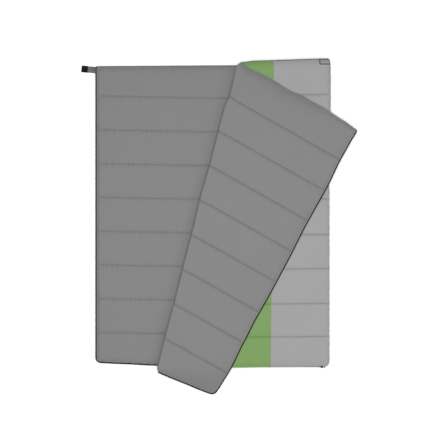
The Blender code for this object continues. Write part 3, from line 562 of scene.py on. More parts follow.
FRONT_MIDDLE = 0.0330
FRONT_HEAD = (0.934, 0.981)
FRONT_FOOT_X = (-0.7305, -0.354, 0.73035)
FRONT_FOOT_Y = (-0.922, -0.971, -0.945)
FRONT_FOOT_BOW = ((0, 0.06, 0.3, 0.6, 1), (0, 0, -8, -6, 0))
FRONT_SEWN = tuple((0.736 + (-0.771 - 0.736) * k / 7, 0.758 + (-0.756 - 0.758) * k / 7)
                   for k in range(8))
FRONT_DROP = (0, 0, 0, 4, 11, 8, 10, 0)      # how far each row drops right of the middle, in mm
DROP_FROM, DROP_WIDTH = -0.1, 0.45           # where it starts to drop, and over what width
CREASE_HEAD, CREASE_FOOT = np.array([0.14099, 0.96204]), np.array([-0.35400, -0.971])
CREASE_Z = 0.0441
ROLL = CREASE_Z - FRONT_MIDDLE       # from the crease's axis to the middle of the layer
ROLL_SQUASH = 0.45                   # width of the roll, as a share of its height
TAKE_UP = 0.014                      # cloth that the roll uses up, shared out over TAKE_UP_WIDTH
TAKE_UP_WIDTH = 0.12
# The edges of the flap are not quite straight: outward bow at shares of each edge's length
HEAD_BOW = ((0, 0.08, 0.2, 0.3, 0.42, 0.56, 0.72, 0.88, 1), (0, 2, 13, 19, 15, 26, 27, 22, 15))
SIDE_BOW = ((0, 0.04, 0.11, 0.2, 0.35, 0.5, 0.62, 0.72, 0.8, 0.9, 0.97, 1),
            (-3, -6, -7, 2, 1, 9, 11, 8, 13, 20, 16, 12))
FLAP_FOOT_BOW = ((0, 0.4, 0.9, 1), (0, 5, 11, 11))
# How far the roll is in from the crease's axis, at shares of the way from foot to head: the ends
# are drawn in round, and the first sewn line below the head pinches it
ROLL_WAY = ((0, 0.006, 0.014, 0.025, 0.05, 0.116, 0.229, 0.342, 0.453, 0.565, 0.606, 0.668, 0.776,
             0.846, 0.87, 0.893, 0.925, 0.955, 0.978, 0.988, 0.994, 0.998, 1),
            (17, 10, 7, 7, 7, 5, 8, 6, 6, 2, 5, 9, 8, 9, 13, 24, 22, 20, 18, 21, 26, 32, 38))

CREASE_LENGTH = np.linalg.norm(CREASE_HEAD - CREASE_FOOT)
crease_way = (CREASE_HEAD - CREASE_FOOT) / CREASE_LENGTH
crease_side = np.array([crease_way[1], -crease_way[0]])


def front_head(x):
    """The front's head edge, bowed out along the flap."""
    share = (CREASE_HEAD[0] - x) / (CREASE_HEAD[0] - BACK_LEFT)
    return slant(FRONT_HEAD)(x) + np.where(share > 0, eased(np.clip(share, 0, 1), HEAD_BOW), 0)


def front_foot(x):
    """The front's foot edge: two lines that meet at the crease, the flap's bowed out and the
    other drawn in a little."""
    share = (CREASE_FOOT[0] - x) / (CREASE_FOOT[0] - BACK_LEFT)
    other = (x - CREASE_FOOT[0]) / (BACK_RIGHT - CREASE_FOOT[0])
    return (np.interp(x, FRONT_FOOT_X, FRONT_FOOT_Y) - eased(np.clip(share, 0, 1), FLAP_FOOT_BOW)
            - eased(np.clip(other, 0, 1), FRONT_FOOT_BOW))


def front_left(y):
    """The zip edge of the flap, slightly bowed."""
    share = (FRONT_HEAD[0] - y) / (FRONT_HEAD[0] - FRONT_FOOT_Y[0])
    return BACK_LEFT - eased(np.clip(share, 0, 1), SIDE_BOW)


def crease_at(y):
    """The crease, straight from foot to head."""
    return CREASE_FOOT[0] + (y - CREASE_FOOT[1]) * crease_way[0] / crease_way[1]


def in_and_out(share):
    """A smooth step: level at 0 and at 1."""
    return share * share * (3 - 2 * share)


def crease_distances(points):
    """Distance to the crease, positive on the front, and the way along it from the foot."""
    rel = points[:, :2] - CREASE_FOOT
    return rel @ crease_side, rel @ crease_way


def fold(points):
    """Folds the flat front layer round the crease, and gives each point's weight on the flap.

    s is the distance to the crease, positive on the front. The cloth that the roll uses up and
    the way that it is drawn in are shared out over a band on each side. Past the roll's quarter the
    cloth runs level, within it on an ellipse about the crease's axis. The flap's side is the mirror
    image above the axis. A point belongs to the flap or the front, whole."""
    s, t = crease_distances(points)
    r = ROLL - (points[:, 2] - FRONT_MIDDLE)
    inwards = eased(np.clip(t / CREASE_LENGTH, 0, 1), ROLL_WAY)
    share = in_and_out(np.clip(np.abs(s) / TAKE_UP_WIDTH, 0, 1))
    way = np.abs(s) + TAKE_UP * share
    angle = np.clip(way / TAKE_UP, 0, 1) * math.pi / 2
    out = inwards * (1 - share) + np.maximum(way - TAKE_UP, 0) - ROLL_SQUASH * r * np.cos(angle)
    up = -np.where(s >= 0, 1, -1) * r * np.sin(angle)
    plan = CREASE_FOOT + t[:, None] * crease_way + out[:, None] * crease_side
    return np.column_stack([plan, CREASE_Z + up]), (s < 0) * 1.0


SINK, SINK_WIDTH = 0.0075, 0.05      # how far the flap's edge sinks, and over what width
CLEAR_FROM, CLEAR_WIDTH = 0.70, 0.08 # no sinking right of this x, where the head corner stands out
HANG_FROM, HANG = -0.925, 1.1        # the foot corner hangs by 1.1 d d, at d beyond this y
WAVE, WAVE_WIDTH = 0.0016, 0.06


def settle(points, weight, edge):
    """The flap's own weight: its free edge sinks onto the front, except at the head corner, which
    stands clear of it; its foot corner hangs down beyond the front's outline, and its edge waves a
    little. edge is the distance in from it, and weight is 1 on the flap and 0 on the front."""
    x, y, z = points.T
    s, t = crease_distances(points)
    away = np.clip(s / TAKE_UP_WIDTH, 0, 1) ** 2
    clear = np.clip((CLEAR_FROM - x) / CLEAR_WIDTH, 0, 1)
    sink = SINK * np.exp(-(edge / SINK_WIDTH) ** 2) * away * clear
    hang = HANG * np.maximum(HANG_FROM - y, 0) ** 2
    wave = WAVE * np.sin(t * 21 + s * 9) * np.exp(-edge / WAVE_WIDTH) * away
    return np.column_stack([x, y, z - weight * (sink + hang - wave)])


def sewn_row(ends, drop):
    """A sewn line of the front: straight on the flap, and dropping a little right of the crease."""
    return lambda x: slant(ends)(x) - eased(np.clip((x - DROP_FROM) / DROP_WIDTH, 0, 1),
                                            ((0, 1), (0, drop)))


front_rows = [front_head, *[sewn_row(*row) for row in zip(FRONT_SEWN, FRONT_DROP)], front_foot]
front_sides = (front_left, closed_side)
CREASE_SHADE_WIDTH = 0.007                   # half width of the painted shade along the crease, for the shade on the roll's turned-under side
# no grid line lies on the crease itself, so that the closed crease is bridged level
NEAR_CREASE = (0.00125, 0.0035, 0.006, 0.0085, 0.011, 0.014, 0.018, 0.024, 0.031, 0.040)
x, y = plan_grid((front_left, crease_at, closed_side),
                 [stations(NEAR_EDGE, NEAR_CREASE, 34), stations(NEAR_CREASE, NEAR_EDGE, 42)],
                 front_rows, [head_rows, *[mid_rows] * 7, foot_rows])
edge = np.minimum(np.minimum(x - front_left(y), y - front_foot(x)), front_head(x) - y)
front, front_upper, front_lower, x, y, line = quilted_layer("front_layer", x, y, front_sides,
                                                            front_rows, FRONT_MIDDLE)
# painted shade along the crease: the roll's turned-under side lies in shade there
crease_shade = np.exp(-(np.abs((np.stack([x, y], -1) - CREASE_FOOT) @ crease_side) / CREASE_SHADE_WIDTH) ** 2)
give(front, "crease_painted_shade", both_sheets(crease_shade, front_upper, front_lower))
edge_each = both_sheets(edge, front_upper, front_lower)
puff(front, sewn_fast(line, front_upper, front_lower), FRONT_MIDDLE)
front_flat = places(front)


def bend_round(obj, edge_each):
    """Folds a piece made on the flat front layer round the crease, and lets the flap's part settle.
    """
    points, weight = fold(places(obj))
    place(obj, settle(points, weight, edge_each))
    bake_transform(obj)


front_cloth = quilt_cloth("front_shell_cloth", (0.137, 0.253, 0.069), (0.262, 0.262, 0.262),
                          groove_shade_strength=0.36)
# the flap's liner: the liner's colour with stronger painted shade in its grooves, and the painted
# shade along the crease
flap_liner_cloth = quilt_cloth("flap_liner_cloth", (0.162, 0.162, 0.163), groove_shade_strength=0.36,
                               crease_shade_strength=0.65)
two_cloths(front, front_upper, front_cloth, flap_liner_cloth)
sewn_rows = np.flatnonzero(line[:, 0] < ON_LINE)
front_paths = {up: sewn_paths(front, index, sewn_rows)
               for index, up in ((front_upper, 1), (front_lower, -1))}
bend_round(front, edge_each)
smoothed(front)
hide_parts("front_shell_side", "front_shell_band", "front_fill", "front_liner",
            "flap_shell_band", "flap_shell_side", "flap_fill", "flap_liner")


def tie(obj, layer):
    """Ties a piece made on a flat layer: to the back, or else folded with the front. Its distance
    in is from the nearest free edge."""
    if layer == "back":
        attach(obj, "back")
        return
    x, y = places(obj).T[:2]
    edge = np.minimum(np.minimum(x - front_left(y), y - front_foot(x)), front_head(x) - y)
    bend_round(obj, np.maximum(edge, 0))


# The front's quilting thread, sewn through both sheets like the back's.

for piece, up in (("front_stitches_shell", 1), ("front_stitches_liner", -1)):
    tie(mesh_piece(piece, *stitches(front_paths[up], up), grey_thread), "front")

# ---------------------------------------------------------------------------
# The zip: woven polyester tape sewn round the left side and the foot of each layer, with half of
# a nylon coil along its outer edge. The back's half and the front's half close into one zip.

TAPE_HALF, TAPE_INSIDE, TAPE_OUTSIDE = 0.0005, 0.008, 0.0068
ZIP_END, TAPE_HEAD, COIL_HEAD = 0.6945, 0.920, 0.9225    # x of its foot end, y of its head ends
LAYERS = {"back": (back_left, back_foot, back_rows[0], BACK_MIDDLE),
          "front": (front_left, front_foot, front_head, FRONT_MIDDLE)}
COIL_OUT, COIL_RADIUS, COIL_WIRE, COIL_PITCH = 0.0068, 0.0012, 0.00045, 0.0030


def unit(ways):
    """Directions made one long."""
    return ways / np.linalg.norm(ways, axis=1, keepdims=True)


def zip_line(layer, head_y, step, from_head=False):
    """The edge that a layer's zip follows: down the left side, round the corner's quarter circle,
    and along the foot. Points, the outward direction at each, and the way along.

    From the head, the line starts on the head edge and comes round that corner too, where the
    outward direction shortens to half, so that a tape along it narrows into the binding."""
    left, foot, head, _ = LAYERS[layer]
    ys = np.arange(head_y, foot(BACK_LEFT) + FOOT_RADIUS, -step)
    turn = np.linspace(0, math.pi / 2, 12)
    xs = np.arange(BACK_LEFT + FOOT_RADIUS, ZIP_END, step)[1:]
    corner_y = foot(BACK_LEFT) + FOOT_RADIUS
    arc_x = left(corner_y) + FOOT_RADIUS * (1 - np.cos(turn))
    arc_y = foot(arc_x) + FOOT_RADIUS * (1 - np.sin(turn))
    px = np.concatenate([left(ys), arc_x, xs])
    py = np.concatenate([ys, arc_y, foot(xs)])
    path = np.stack([px, py], -1)
    if from_head:
        round_it = np.linspace(0.42 * math.pi, 0, 9)
        corner_y = head(BACK_LEFT) - ZIP_HEAD_RADIUS
        arc_x = left(corner_y) + ZIP_HEAD_RADIUS * (1 - np.cos(round_it))
        arc = np.stack([arc_x, head(arc_x) - ZIP_HEAD_RADIUS * (1 - np.sin(round_it))], -1)
        path = np.concatenate([arc, path[path[:, 1] < arc[-1, 1] - 0.002]])
    keep = np.concatenate([[True], np.linalg.norm(np.diff(path, axis=0), axis=1) > 1e-4])
    path = path[keep]
    run = lengths_along(path)
    way = unit(np.gradient(path, run, axis=0))
    out = np.stack([way[:, 1], -way[:, 0]], -1)
    if from_head:
        out[:9] *= (1 - 0.5 * np.sin(round_it) ** 2)[:, None]
    return path, out, run


def tube_faces(n, k):
    """Quads round a tube of n rings of k points, and one face over each end."""
    grid = np.arange(n * k).reshape(n, k)
    after = np.roll(grid, -1, axis=1)
    sides = np.stack([grid[:-1], after[:-1], after[1:], grid[1:]], -1).reshape(-1, 4)
    return [*sides.tolist(), grid[0][::-1].tolist(), grid[-1].tolist()]


def carried(path, out, profile, middle):
    """A closed profile of (outward, up) offsets carried along a path, with its two ends closed."""
    n, k = len(path), len(profile)
    flat = path[:, None] + out[:, None] * profile[None, :, :1]
    points = np.concatenate([flat, np.broadcast_to(middle + profile[None, :, 1:], (n, k, 1))], -1)
    return points.reshape(-1, 3), tube_faces(n, k)


def outward_faces(obj):
    """Turns every face of a closed piece to face outwards."""
    work = bmesh.new()
    work.from_mesh(obj.data)
    bmesh.ops.recalc_face_normals(work, faces=work.faces)
    work.to_mesh(obj.data)
    work.free()


def tape_profile(inside, outside, half):
    """A flat strip with rounded edges: offsets from its inner edge to its outer edge."""
    return np.array([(-inside, 0), (-inside + half, half), (0, half), (outside - half, half),
                     (outside, 0), (outside - half, -half), (0, -half), (-inside + half, -half)])


def coil(path, out, run, middle):
    """Half of a nylon coil: a round wire wound as a helix along the path, eight points a turn
    and four round the wire. Radius times cosine goes outwards and radius times sine up."""
    turns = int(run[-1] / COIL_PITCH)
    phase = np.arange(turns * 8 + 1) / 8
    at = phase * COIL_PITCH
    base, side = at_lengths(at, run, path), unit(at_lengths(at, run, out))
    way = np.stack([-side[:, 1], side[:, 0]], -1)
    angle = 2 * math.pi * phase
    reach, up = np.cos(angle), np.sin(angle)
    points = []
    for around in np.arange(4) * math.pi / 2:
        r = COIL_RADIUS + COIL_WIRE * math.cos(around)
        shift = COIL_WIRE * math.sin(around)
        plan = base + side * (COIL_OUT + r * reach)[:, None] + way * shift
        points.append(np.column_stack([plan, middle + r * up]))
    return np.stack(points, 1).reshape(-1, 3), tube_faces(len(phase), 4)


def woven_tape(name, colour, sheen=0.25, gloss=0.5):
    """Zip and binding tape: close ribs both ways on the tape's own length and width."""
    made, tree, shader = nodes_of(name, colour, 0.75)
    shader.inputs["Sheen Weight"].default_value = sheen
    shader.inputs["Specular IOR Level"].default_value = gloss
    here = node(tree, "TexCoord").outputs["Object"]
    weave = ribs_both_ways(tree, here, 260.0, 0.6)
    fade = node(tree, "TexNoise", {"Vector": here, "Scale": 40.0, "Detail": 3.0})
    level = maths(tree, "ADD", maths(tree, "MULTIPLY", weave, 0.5),
                  maths(tree, "MULTIPLY", fade.outputs["Fac"], 0.5))
    two_tone(tree, shader, level, [c * 0.6 for c in colour], [c * 1.4 for c in colour])
    bumped(tree, shader, weave, 0.6, 0.0003)
    return made


GRAIN = 900.0


def moulded(name, colour, rough, gloss):
    """Nylon or painted metal: a fine grain in the gloss and the height, and worn lighter specks."""
    made, tree, shader = nodes_of(name, colour, rough)
    shader.inputs["Specular IOR Level"].default_value = gloss
    here = node(tree, "TexCoord").outputs["Object"]
    fine = node(tree, "TexNoise", {"Vector": here, "Scale": GRAIN, "Detail": 3.0})
    roughness = node(tree, "MapRange", {"Value": fine.outputs["Fac"], "To Min": rough - 0.12,
                                        "To Max": rough + 0.12})
    tree.links.new(roughness.outputs[0], shader.inputs["Roughness"])
    wear = node(tree, "TexNoise", {"Vector": here, "Scale": GRAIN / 5, "Detail": 5.0})
    worn = node(tree, "MapRange", {"Value": wear.outputs["Fac"], "From Min": 0.55,
                                   "From Max": 0.8})
    two_tone(tree, shader, worn.outputs[0], colour, [c * 2.2 + 0.01 for c in colour])
    bumped(tree, shader, fine.outputs["Fac"], 0.25, 0.0001)
    return made


zip_tape = woven_tape("zip_tape", (0.012, 0.012, 0.013), 0.05, 0.15)
coil_nylon = moulded("coil_nylon", (0.009, 0.009, 0.009), 0.55, 0.2)

TUCK_IN, TUCK_DOWN, TUCK_FROM, TUCK_WIDTH = 0.0092, -0.0030, 0.02, 0.06
TUCK_END, TUCK_END_WIDTH = 0.685, 0.04


def tucked(points):
    """The front's zip right of the crease turns under its foot edge: 9 mm in and 3 mm down, from
    nothing at the crease to all of it 60 mm further on, and out again before its pin."""
    on_foot = points[:, 1] < front_foot(points[:, 0]) + 0.02
    share = np.clip((points[:, 0] - CREASE_FOOT[0] - TUCK_FROM) / TUCK_WIDTH, 0, 1) * on_foot
    share = in_and_out(share * np.clip((TUCK_END - points[:, 0]) / TUCK_END_WIDTH, 0, 1))
    return points + share[:, None] * (0, TUCK_IN, TUCK_DOWN)


profile = tape_profile(TAPE_INSIDE, TAPE_OUTSIDE, TAPE_HALF)
for layer, bodies in (("back", ["back"]), ("front", ["front", "flap"])):
    middle = LAYERS[layer][3]
    path, out, run = zip_line(layer, TAPE_HEAD, 0.008, from_head=True)
    tape = mesh_piece(f"{layer}_zip_tape", *carried(path, out, profile, middle), zip_tape)
    path, out, run = zip_line(layer, COIL_HEAD, 0.004)
    teeth = mesh_piece(f"{layer}_zip_coil", *coil(path, out, run, middle), coil_nylon)
    for made, kind, finish in ((tape, "tape", "tape_grey"), (teeth, "coil", "coil_black")):
        outward_faces(made)
        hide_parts(*[f"zip_{body}_{kind}" for body in bodies])
        if layer == "front":
            place(made, tucked(places(made)))
        tie(made, layer)

# The facing: a narrow strip of cloth that covers the tape's inner edge on the liner side. The
# front's is painted paler than the back's, a painted highlight where its raised edge catches the
# light.
# It is a little long for the zip, so it ripples every 15 mm.

FACING_IN, FACING_OUT, FACING_HALF = 0.0066, 0.0008, 0.0005
FACING_HEAD, FACING_FOOT = 0.918, 0.035      # y of its head end, height of its foot end
FACING_LIFT, RIPPLE, RIPPLE_PITCH = 0.0019, 0.0007, 0.015
# painted highlight: the front's facing is painted paler than the back's
facing_cloth = {"back": woven_tape("back_facing_cloth", (0.165, 0.165, 0.165)),
                "front": woven_tape("front_facing_cloth_painted_highlight", (0.21, 0.21, 0.21))}
for layer, up in (("back", 1), ("front", -1)):
    _, foot, _, middle = LAYERS[layer]
    path, out, run = zip_line(layer, FACING_HEAD, 0.0025)
    on_side = path[:, 1] > foot(np.array(BACK_LEFT)) + FACING_FOOT
    path, out, run = path[on_side], out[on_side], run[on_side]
    profile = np.array([(-FACING_IN, -FACING_HALF), (-FACING_OUT, -FACING_HALF),
                        (-FACING_OUT + 0.0004, 0), (-FACING_OUT, FACING_HALF),
                        (-FACING_IN, FACING_HALF), (-FACING_IN - 0.0004, 0)])
    taper = rise((path[:, 1] - path[-1, 1]) / 0.05 + 0.05)
    points, faces = carried(path, out * (0.35 + 0.65 * taper)[:, None], profile, middle)
    ripple = RIPPLE * np.sin(run * 2 * math.pi / RIPPLE_PITCH) * (0.6 + 0.4 * np.sin(run * 17))
    points[:, 2] += up * (FACING_LIFT + np.repeat(ripple, len(profile)))
    facing = mesh_piece(f"{layer}_zip_facing", points, faces, facing_cloth[layer])
    outward_faces(facing)
    tie(facing, layer)

# The line of stitches that holds the tape to each layer, 3 mm in from the edge.

SEAM_IN, SEAM_UP = 0.003, 0.0011     # in from the edge, and up from the layer's middle
for layer in LAYERS:
    path, out, run = zip_line(layer, 0.925, 0.006)
    for up, face in ((1, "upper"), (-1, "lower")):
        height = np.full(len(path), LAYERS[layer][3] + up * SEAM_UP)
        row = np.column_stack([path - out * SEAM_IN, height])
        made = mesh_piece(f"{layer}_zip_stitches_{face}", *stitches([row], up), grey_thread)
        if layer == "front":
            # tucked in with the tape, but kept at its own height
            place(made, places(made) + (tucked(places(made)) - places(made)) * (1, 1, 0))
        tie(made, layer)

# ---------------------------------------------------------------------------
# The head bindings: a narrow grosgrain strip folded over the head edge of each layer and sewn
# down on both sides.

BINDING_REACH, BINDING_INSIDE, BINDING_HALF = 0.0028, 0.0046, 0.0014
BINDING_SEAM = 0.0028                # its stitches, in from the edge


def binding_profile():
    """A strip folded over the edge: a half round outside, two legs that thin out inside."""
    turn = np.linspace(-math.pi / 2, math.pi / 2, 7)
    nose = np.stack([BINDING_REACH - BINDING_HALF + BINDING_HALF * np.cos(turn),
                     BINDING_HALF * np.sin(turn)], -1)
    legs = np.array([(-BINDING_INSIDE, 0.0012), (-BINDING_INSIDE - 0.0004, 0),
                     (-BINDING_INSIDE, -0.0012)])
    return np.concatenate([nose, legs])


def head_line(head, left, from_x, to_x):
    """The head edge from one x down to another, and a little way round the zip corner where it
    ends there. Points and the outward direction at each."""
    xs = np.arange(from_x, to_x, -0.006)
    path = np.stack([xs, head(xs)], -1)
    if to_x < BACK_LEFT + 0.05:
        turn = np.linspace(0, math.pi / 7, 4)
        corner_y = float(head(BACK_LEFT)) - ZIP_HEAD_RADIUS
        arc_x = left(corner_y) + ZIP_HEAD_RADIUS * (1 - np.sin(turn))
        arc = np.stack([arc_x, head(arc_x) - ZIP_HEAD_RADIUS * (1 - np.cos(turn))], -1)
        path = np.concatenate([path[path[:, 0] > arc_x[0] + 0.002], arc])
    way = unit(np.gradient(path, axis=0))
    return path, np.stack([way[:, 1], -way[:, 0]], -1)


# painted shade: the back's and the front's binding are the same tape as the flap's, painted darker
# for the shade along those head edges
binding_painted_shade = woven_tape("binding_painted_shade", (0.118, 0.118, 0.119))
pale_binding = woven_tape("pale_binding", (0.153, 0.153, 0.154))
for body, layer, ends, cloth in (
        ("back", "back", (0.722, BACK_LEFT), binding_painted_shade),
        ("front", "front", (0.722, CREASE_HEAD[0]), binding_painted_shade),
        ("flap", "front", (CREASE_HEAD[0], BACK_LEFT), pale_binding)):
    left, _, head, middle = LAYERS[layer]
    path, out = head_line(head, left, *ends)
    binding = mesh_piece(f"{body}_binding", *carried(path, out, binding_profile(), middle), cloth)
    outward_faces(binding)
    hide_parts(f"{body}_head_binding")
    tie(binding, layer)
    for up, face in ((1, "upper"), (-1, "lower")):
        height = np.full(len(path), middle + up * BINDING_HALF)
        row = np.column_stack([path - out * BINDING_SEAM, height])
        tie(mesh_piece(f"{body}_binding_stitches_{face}", *stitches([row], up), grey_thread), layer)

# ---------------------------------------------------------------------------
# The closed side: the shell cloth runs round from the back to the front as one narrow gusset,
# which is the hinge that the quilt opens on.

SIDE_X, SIDE_Z = 0.7305, 0.0219
GUSSET_OUT = 0.0045                  # how far it stands out from the side's fold line
GUSSET_TALL = 0.0111                 # half its height
GUSSET_WALL = 0.0012


def gusset():
    """A strip whose section is half an ellipse about the fold line, from the back's edge round to
    the front's, carried from foot to head and closed by an inner skin 1.2 mm further in. It stands
    out 4 mm more at the head, with slight gathers every 40 mm."""
    ys = np.linspace(-0.915, 0.955, 234)
    turn = np.linspace(-math.pi / 2, math.pi / 2, 13)
    gather = 0.0006 * np.sin(ys * 2 * math.pi / 0.043) + 0.0005 * np.sin(ys * 2 * math.pi / 0.117)
    full = GUSSET_OUT + 0.004 * np.clip((ys - 0.3) / 0.4, 0, 1)
    full = full * rise((0.9575 - ys) / 0.02)
    skins = []
    for inwards in (0, GUSSET_WALL):
        reach = (full - inwards + gather)[:, None] * np.cos(turn)
        up = (GUSSET_TALL - 0.4 * inwards) * np.sin(turn)
        skins.append(np.stack([closed_side(ys)[:, None] - 0.001 + reach, ys[:, None] + 0 * turn,
                               SIDE_Z + up + 0 * ys[:, None]], -1))
    points = np.concatenate([skins[0], skins[1][:, ::-1]], axis=1)
    return points.reshape(-1, 3), tube_faces(*points.shape[:2])


points, faces = gusset()
side_strip = mesh_piece("side_gusset", points, faces, back_shell_cloth)
outward_faces(side_strip)
give(side_strip, "cut", points)
for what in ("line", "rim"):
    give(side_strip, what, np.full(len(points), 0.05))
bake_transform(side_strip)

# ---------------------------------------------------------------------------
# The zip's metal: the black painted slider with its pull, the end stops, and the box and pin at
# the foot. They are cast, and keep the shapes that the zip needs to run.

black_metal = moulded("black_metal", (0.014, 0.014, 0.015), 0.38, 0.4)
for name in ("zip_slider", "zip_pull", "head_stop_back", "head_stop_flap", "retainer_box",
             "insertion_pin"):
    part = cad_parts[name]
    if not part.material_slots:
        part.data.materials.append(black_metal)
    for slot in part.material_slots:
        slot.material = black_metal
    part.data.shade_flat()

# ---------------------------------------------------------------------------
# The closing tab: a flat loop of grey cloth sewn under the zip edge at the head, with a patch of
# black hook tape on its upper side. It folds over the slider onto the flap's loop patch.

TAB_AXIS_X, TAB_MIDDLE_Y, TAB_RISE = -0.7423, 0.9135, 0.092
TAB_FAR, TAB_WIDTH, TAB_LOW, TAB_HIGH = -0.8258, 0.040, 0.0003, 0.0013
HOOK_NEAR, HOOK_FAR, HOOK_LOW, HOOK_HIGH = -0.7865, -0.8262, 0.0016, 0.0028


def tab_piece(name, material, x_near, x_far, width, low, high, along=19):
    """A thin flat piece that climbs towards the head as it runs out: a rectangle of grid points
    turned by that slope, from height low to height high, with its edges rounded over 0.4 mm."""
    u = 0.5 - 0.5 * np.cos(np.linspace(0, 1, along) * math.pi)
    v = np.sin(np.linspace(-1, 1, 9) * math.pi / 2)
    gx = x_near + (x_far - x_near) * u[:, None] + 0 * v
    gy = TAB_MIDDLE_Y + TAB_RISE * (TAB_AXIS_X - gx) + v * width / 2
    gx = gx + TAB_RISE * v * width / 2
    inner = np.minimum(np.minimum(u[:, None], 1 - u[:, None]) * abs(x_far - x_near),
                       (1 - np.abs(v)) * width / 2)
    half = (high - low) / 2 * rise(0.35 + inner / 0.0004)
    obj, _, _ = closed_pillow(name, gx[::-1], gy[::-1], half[::-1], (high + low) / 2)
    obj.data.materials.append(material)
    outward_faces(obj)
    return obj


tab_cloth = woven_tape("tab_cloth", (0.116, 0.116, 0.117))
hook_tape, tree, shader = nodes_of("hook_tape", (0.006, 0.006, 0.006), 0.85)
shader.inputs["Specular IOR Level"].default_value = 0.1
here = node(tree, "TexCoord").outputs["Object"]
hooks = node(tree, "TexVoronoi", {"Vector": here, "Scale": 700.0}).outputs["Distance"]
two_tone(tree, shader, hooks, (0.013, 0.013, 0.013), (0.003, 0.003, 0.003))
bumped(tree, shader, hooks, 1.0, 0.0008)


def bend_tab(obj):
    """Bakes the piece's placement into its mesh; the strap's near end is not bent round the edge.
    """
    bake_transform(obj)


tab = tab_piece("tab_strap_cloth", tab_cloth, TAB_AXIS_X + 0.0002, TAB_FAR, TAB_WIDTH,
                TAB_LOW, TAB_HIGH, along=37)
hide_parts("tab_strap")
bend_tab(tab)
root_low, root_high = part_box("tab_root")
root = tab_piece("tab_root_cloth", tab_cloth, float(root_high[0]), TAB_AXIS_X + 0.0003, TAB_WIDTH,
                 TAB_LOW, TAB_HIGH)
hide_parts("tab_root")
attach(root, "back")
hook = tab_piece("hook_patch_tape", hook_tape, HOOK_NEAR, HOOK_FAR, TAB_WIDTH + 0.002, HOOK_LOW,
                 HOOK_HIGH)
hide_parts("hook_patch")
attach(hook, "tab")


def border_path(corners, step):
    """Points along a closed outline of corners."""
    corners = np.array([*corners, corners[0]])
    run = lengths_along(corners)
    return at_lengths(np.arange(0, run[-1], step), run, corners)


def tab_corners(x_near, x_far, width, z):
    """Corners of a rectangle that is turned like the tab."""
    return [(x + TAB_RISE * s * width / 2,
             TAB_MIDDLE_Y + TAB_RISE * (TAB_AXIS_X - x) + s * width / 2, z)
            for x, s in ((x_near, -1), (x_far, -1), (x_far, 1), (x_near, 1))]


THREAD_UP = 0.0001                   # the thread's middle lies this far above the cloth
tab_seams = [tab_corners(-0.7455, -0.7845, TAB_WIDTH - 0.005, TAB_HIGH + THREAD_UP),
             tab_corners(HOOK_NEAR - 0.002, HOOK_FAR + 0.002, TAB_WIDTH - 0.002,
                         HOOK_HIGH + THREAD_UP)]
tab_thread = mesh_piece("tab_stitches", *stitches([border_path(c, 0.002) for c in tab_seams], 1),
                        grey_thread)
bend_tab(tab_thread)

# The loop patch: soft grey pile tape on the flap's shell, where the closed tab comes down on it.

loop_pile, tree, shader = nodes_of("loop_pile", (0.20, 0.20, 0.20), 0.9)
shader.inputs["Sheen Weight"].default_value = 0.6
here = node(tree, "TexCoord").outputs["Object"]
pile = node(tree, "TexNoise", {"Vector": here, "Scale": 900.0, "Detail": 4.0}).outputs["Fac"]
two_tone(tree, shader, pile, (0.10, 0.10, 0.10), (0.24, 0.24, 0.24))
bumped(tree, shader, pile, 1.0, 0.001)


def on_front(px, py):
    """Height of the made front layer over points of its flat plan: nearest grid vertices."""
    points = front_flat[front_upper].reshape(-1, 3)
    near = np.argmin((px.ravel()[:, None] - points[None, :, 0]) ** 2
                     + (py.ravel()[:, None] - points[None, :, 1]) ** 2, axis=1)
    return points[near, 2].reshape(px.shape)


PATCH_GRID, PATCH_THICK = 15, 0.0012


def patch_on_front(name, material, corners, proud, shape=lambda x, y: (x, y)):
    """A patch sewn on the front's shell: a bilinear sheet between four corners, put through a
    shape of its plan, with the front's height under it, smoothed, and its edges rounded over."""
    a, b, c, d = (np.array(p) for p in corners)
    u = np.linspace(0, 1, PATCH_GRID)[:, None, None]
    v = np.linspace(0, 1, PATCH_GRID)[None, :, None]
    plan = (a * (1 - u) + b * u) * (1 - v) + (d * (1 - u) + c * u) * v
    gx, gy = shape(plan[..., 0], plan[..., 1])
    ground = on_front(gx, gy)
    for _ in range(4):
        wide = np.pad(ground, 1, mode="edge")
        ground = (wide[:-2, 1:-1] + wide[2:, 1:-1] + wide[1:-1, :-2] + wide[1:-1, 2:]
                  + 4 * ground) / 8
    inner = np.minimum(np.minimum(u, 1 - u)[..., 0] * np.linalg.norm(b - a),
                       np.minimum(v, 1 - v)[..., 0] * np.linalg.norm(d - a))
    half = PATCH_THICK / 2 * rise(0.3 + inner / 0.0015)
    obj, upper, lower = closed_pillow(name, gx, gy, half, 0)
    points = places(obj)
    points[:, 2] += both_sheets(ground + proud + PATCH_THICK / 2, upper, lower)
    place(obj, points)
    obj.data.materials.append(material)
    outward_faces(obj)
    return obj


loop = patch_on_front("loop_patch_tape", loop_pile,
                      ((-0.700, 0.8915), (-0.660, 0.8900), (-0.659, 0.9240), (-0.699, 0.9255)),
                      0.0001)
tie(loop, "front")
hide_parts("loop_patch")

# The corner patch: a small plain woven reinforcement at the closed side's head corner, grey with
# a black overcast border, sewn on the shell.

patch_weave, tree, shader = nodes_of("patch_weave", (0.235, 0.22, 0.228), 0.7)
shader.inputs["Sheen Weight"].default_value = 0.2
here = node(tree, "TexCoord").outputs["Object"]
twill = node(tree, "TexWave", {"Vector": here, "Scale": 300.0, "Distortion": 0.3},
             bands_direction="DIAGONAL").outputs["Fac"]
two_tone(tree, shader, twill, (0.19, 0.178, 0.182), (0.28, 0.265, 0.272))
bumped(tree, shader, twill, 0.6, 0.0003)
black_thread = twisted_thread("black_thread", (0.012, 0.012, 0.012))

PATCH = ((0.668, 0.947), (0.7275, 0.946), (0.7275, 0.9775), (0.668, 0.9765))
PATCH_RADIUS = 0.014
BORDER_WIDTH, BORDER_THICK, BORDER_PROUD = 0.0066, 0.0020, 0.0009


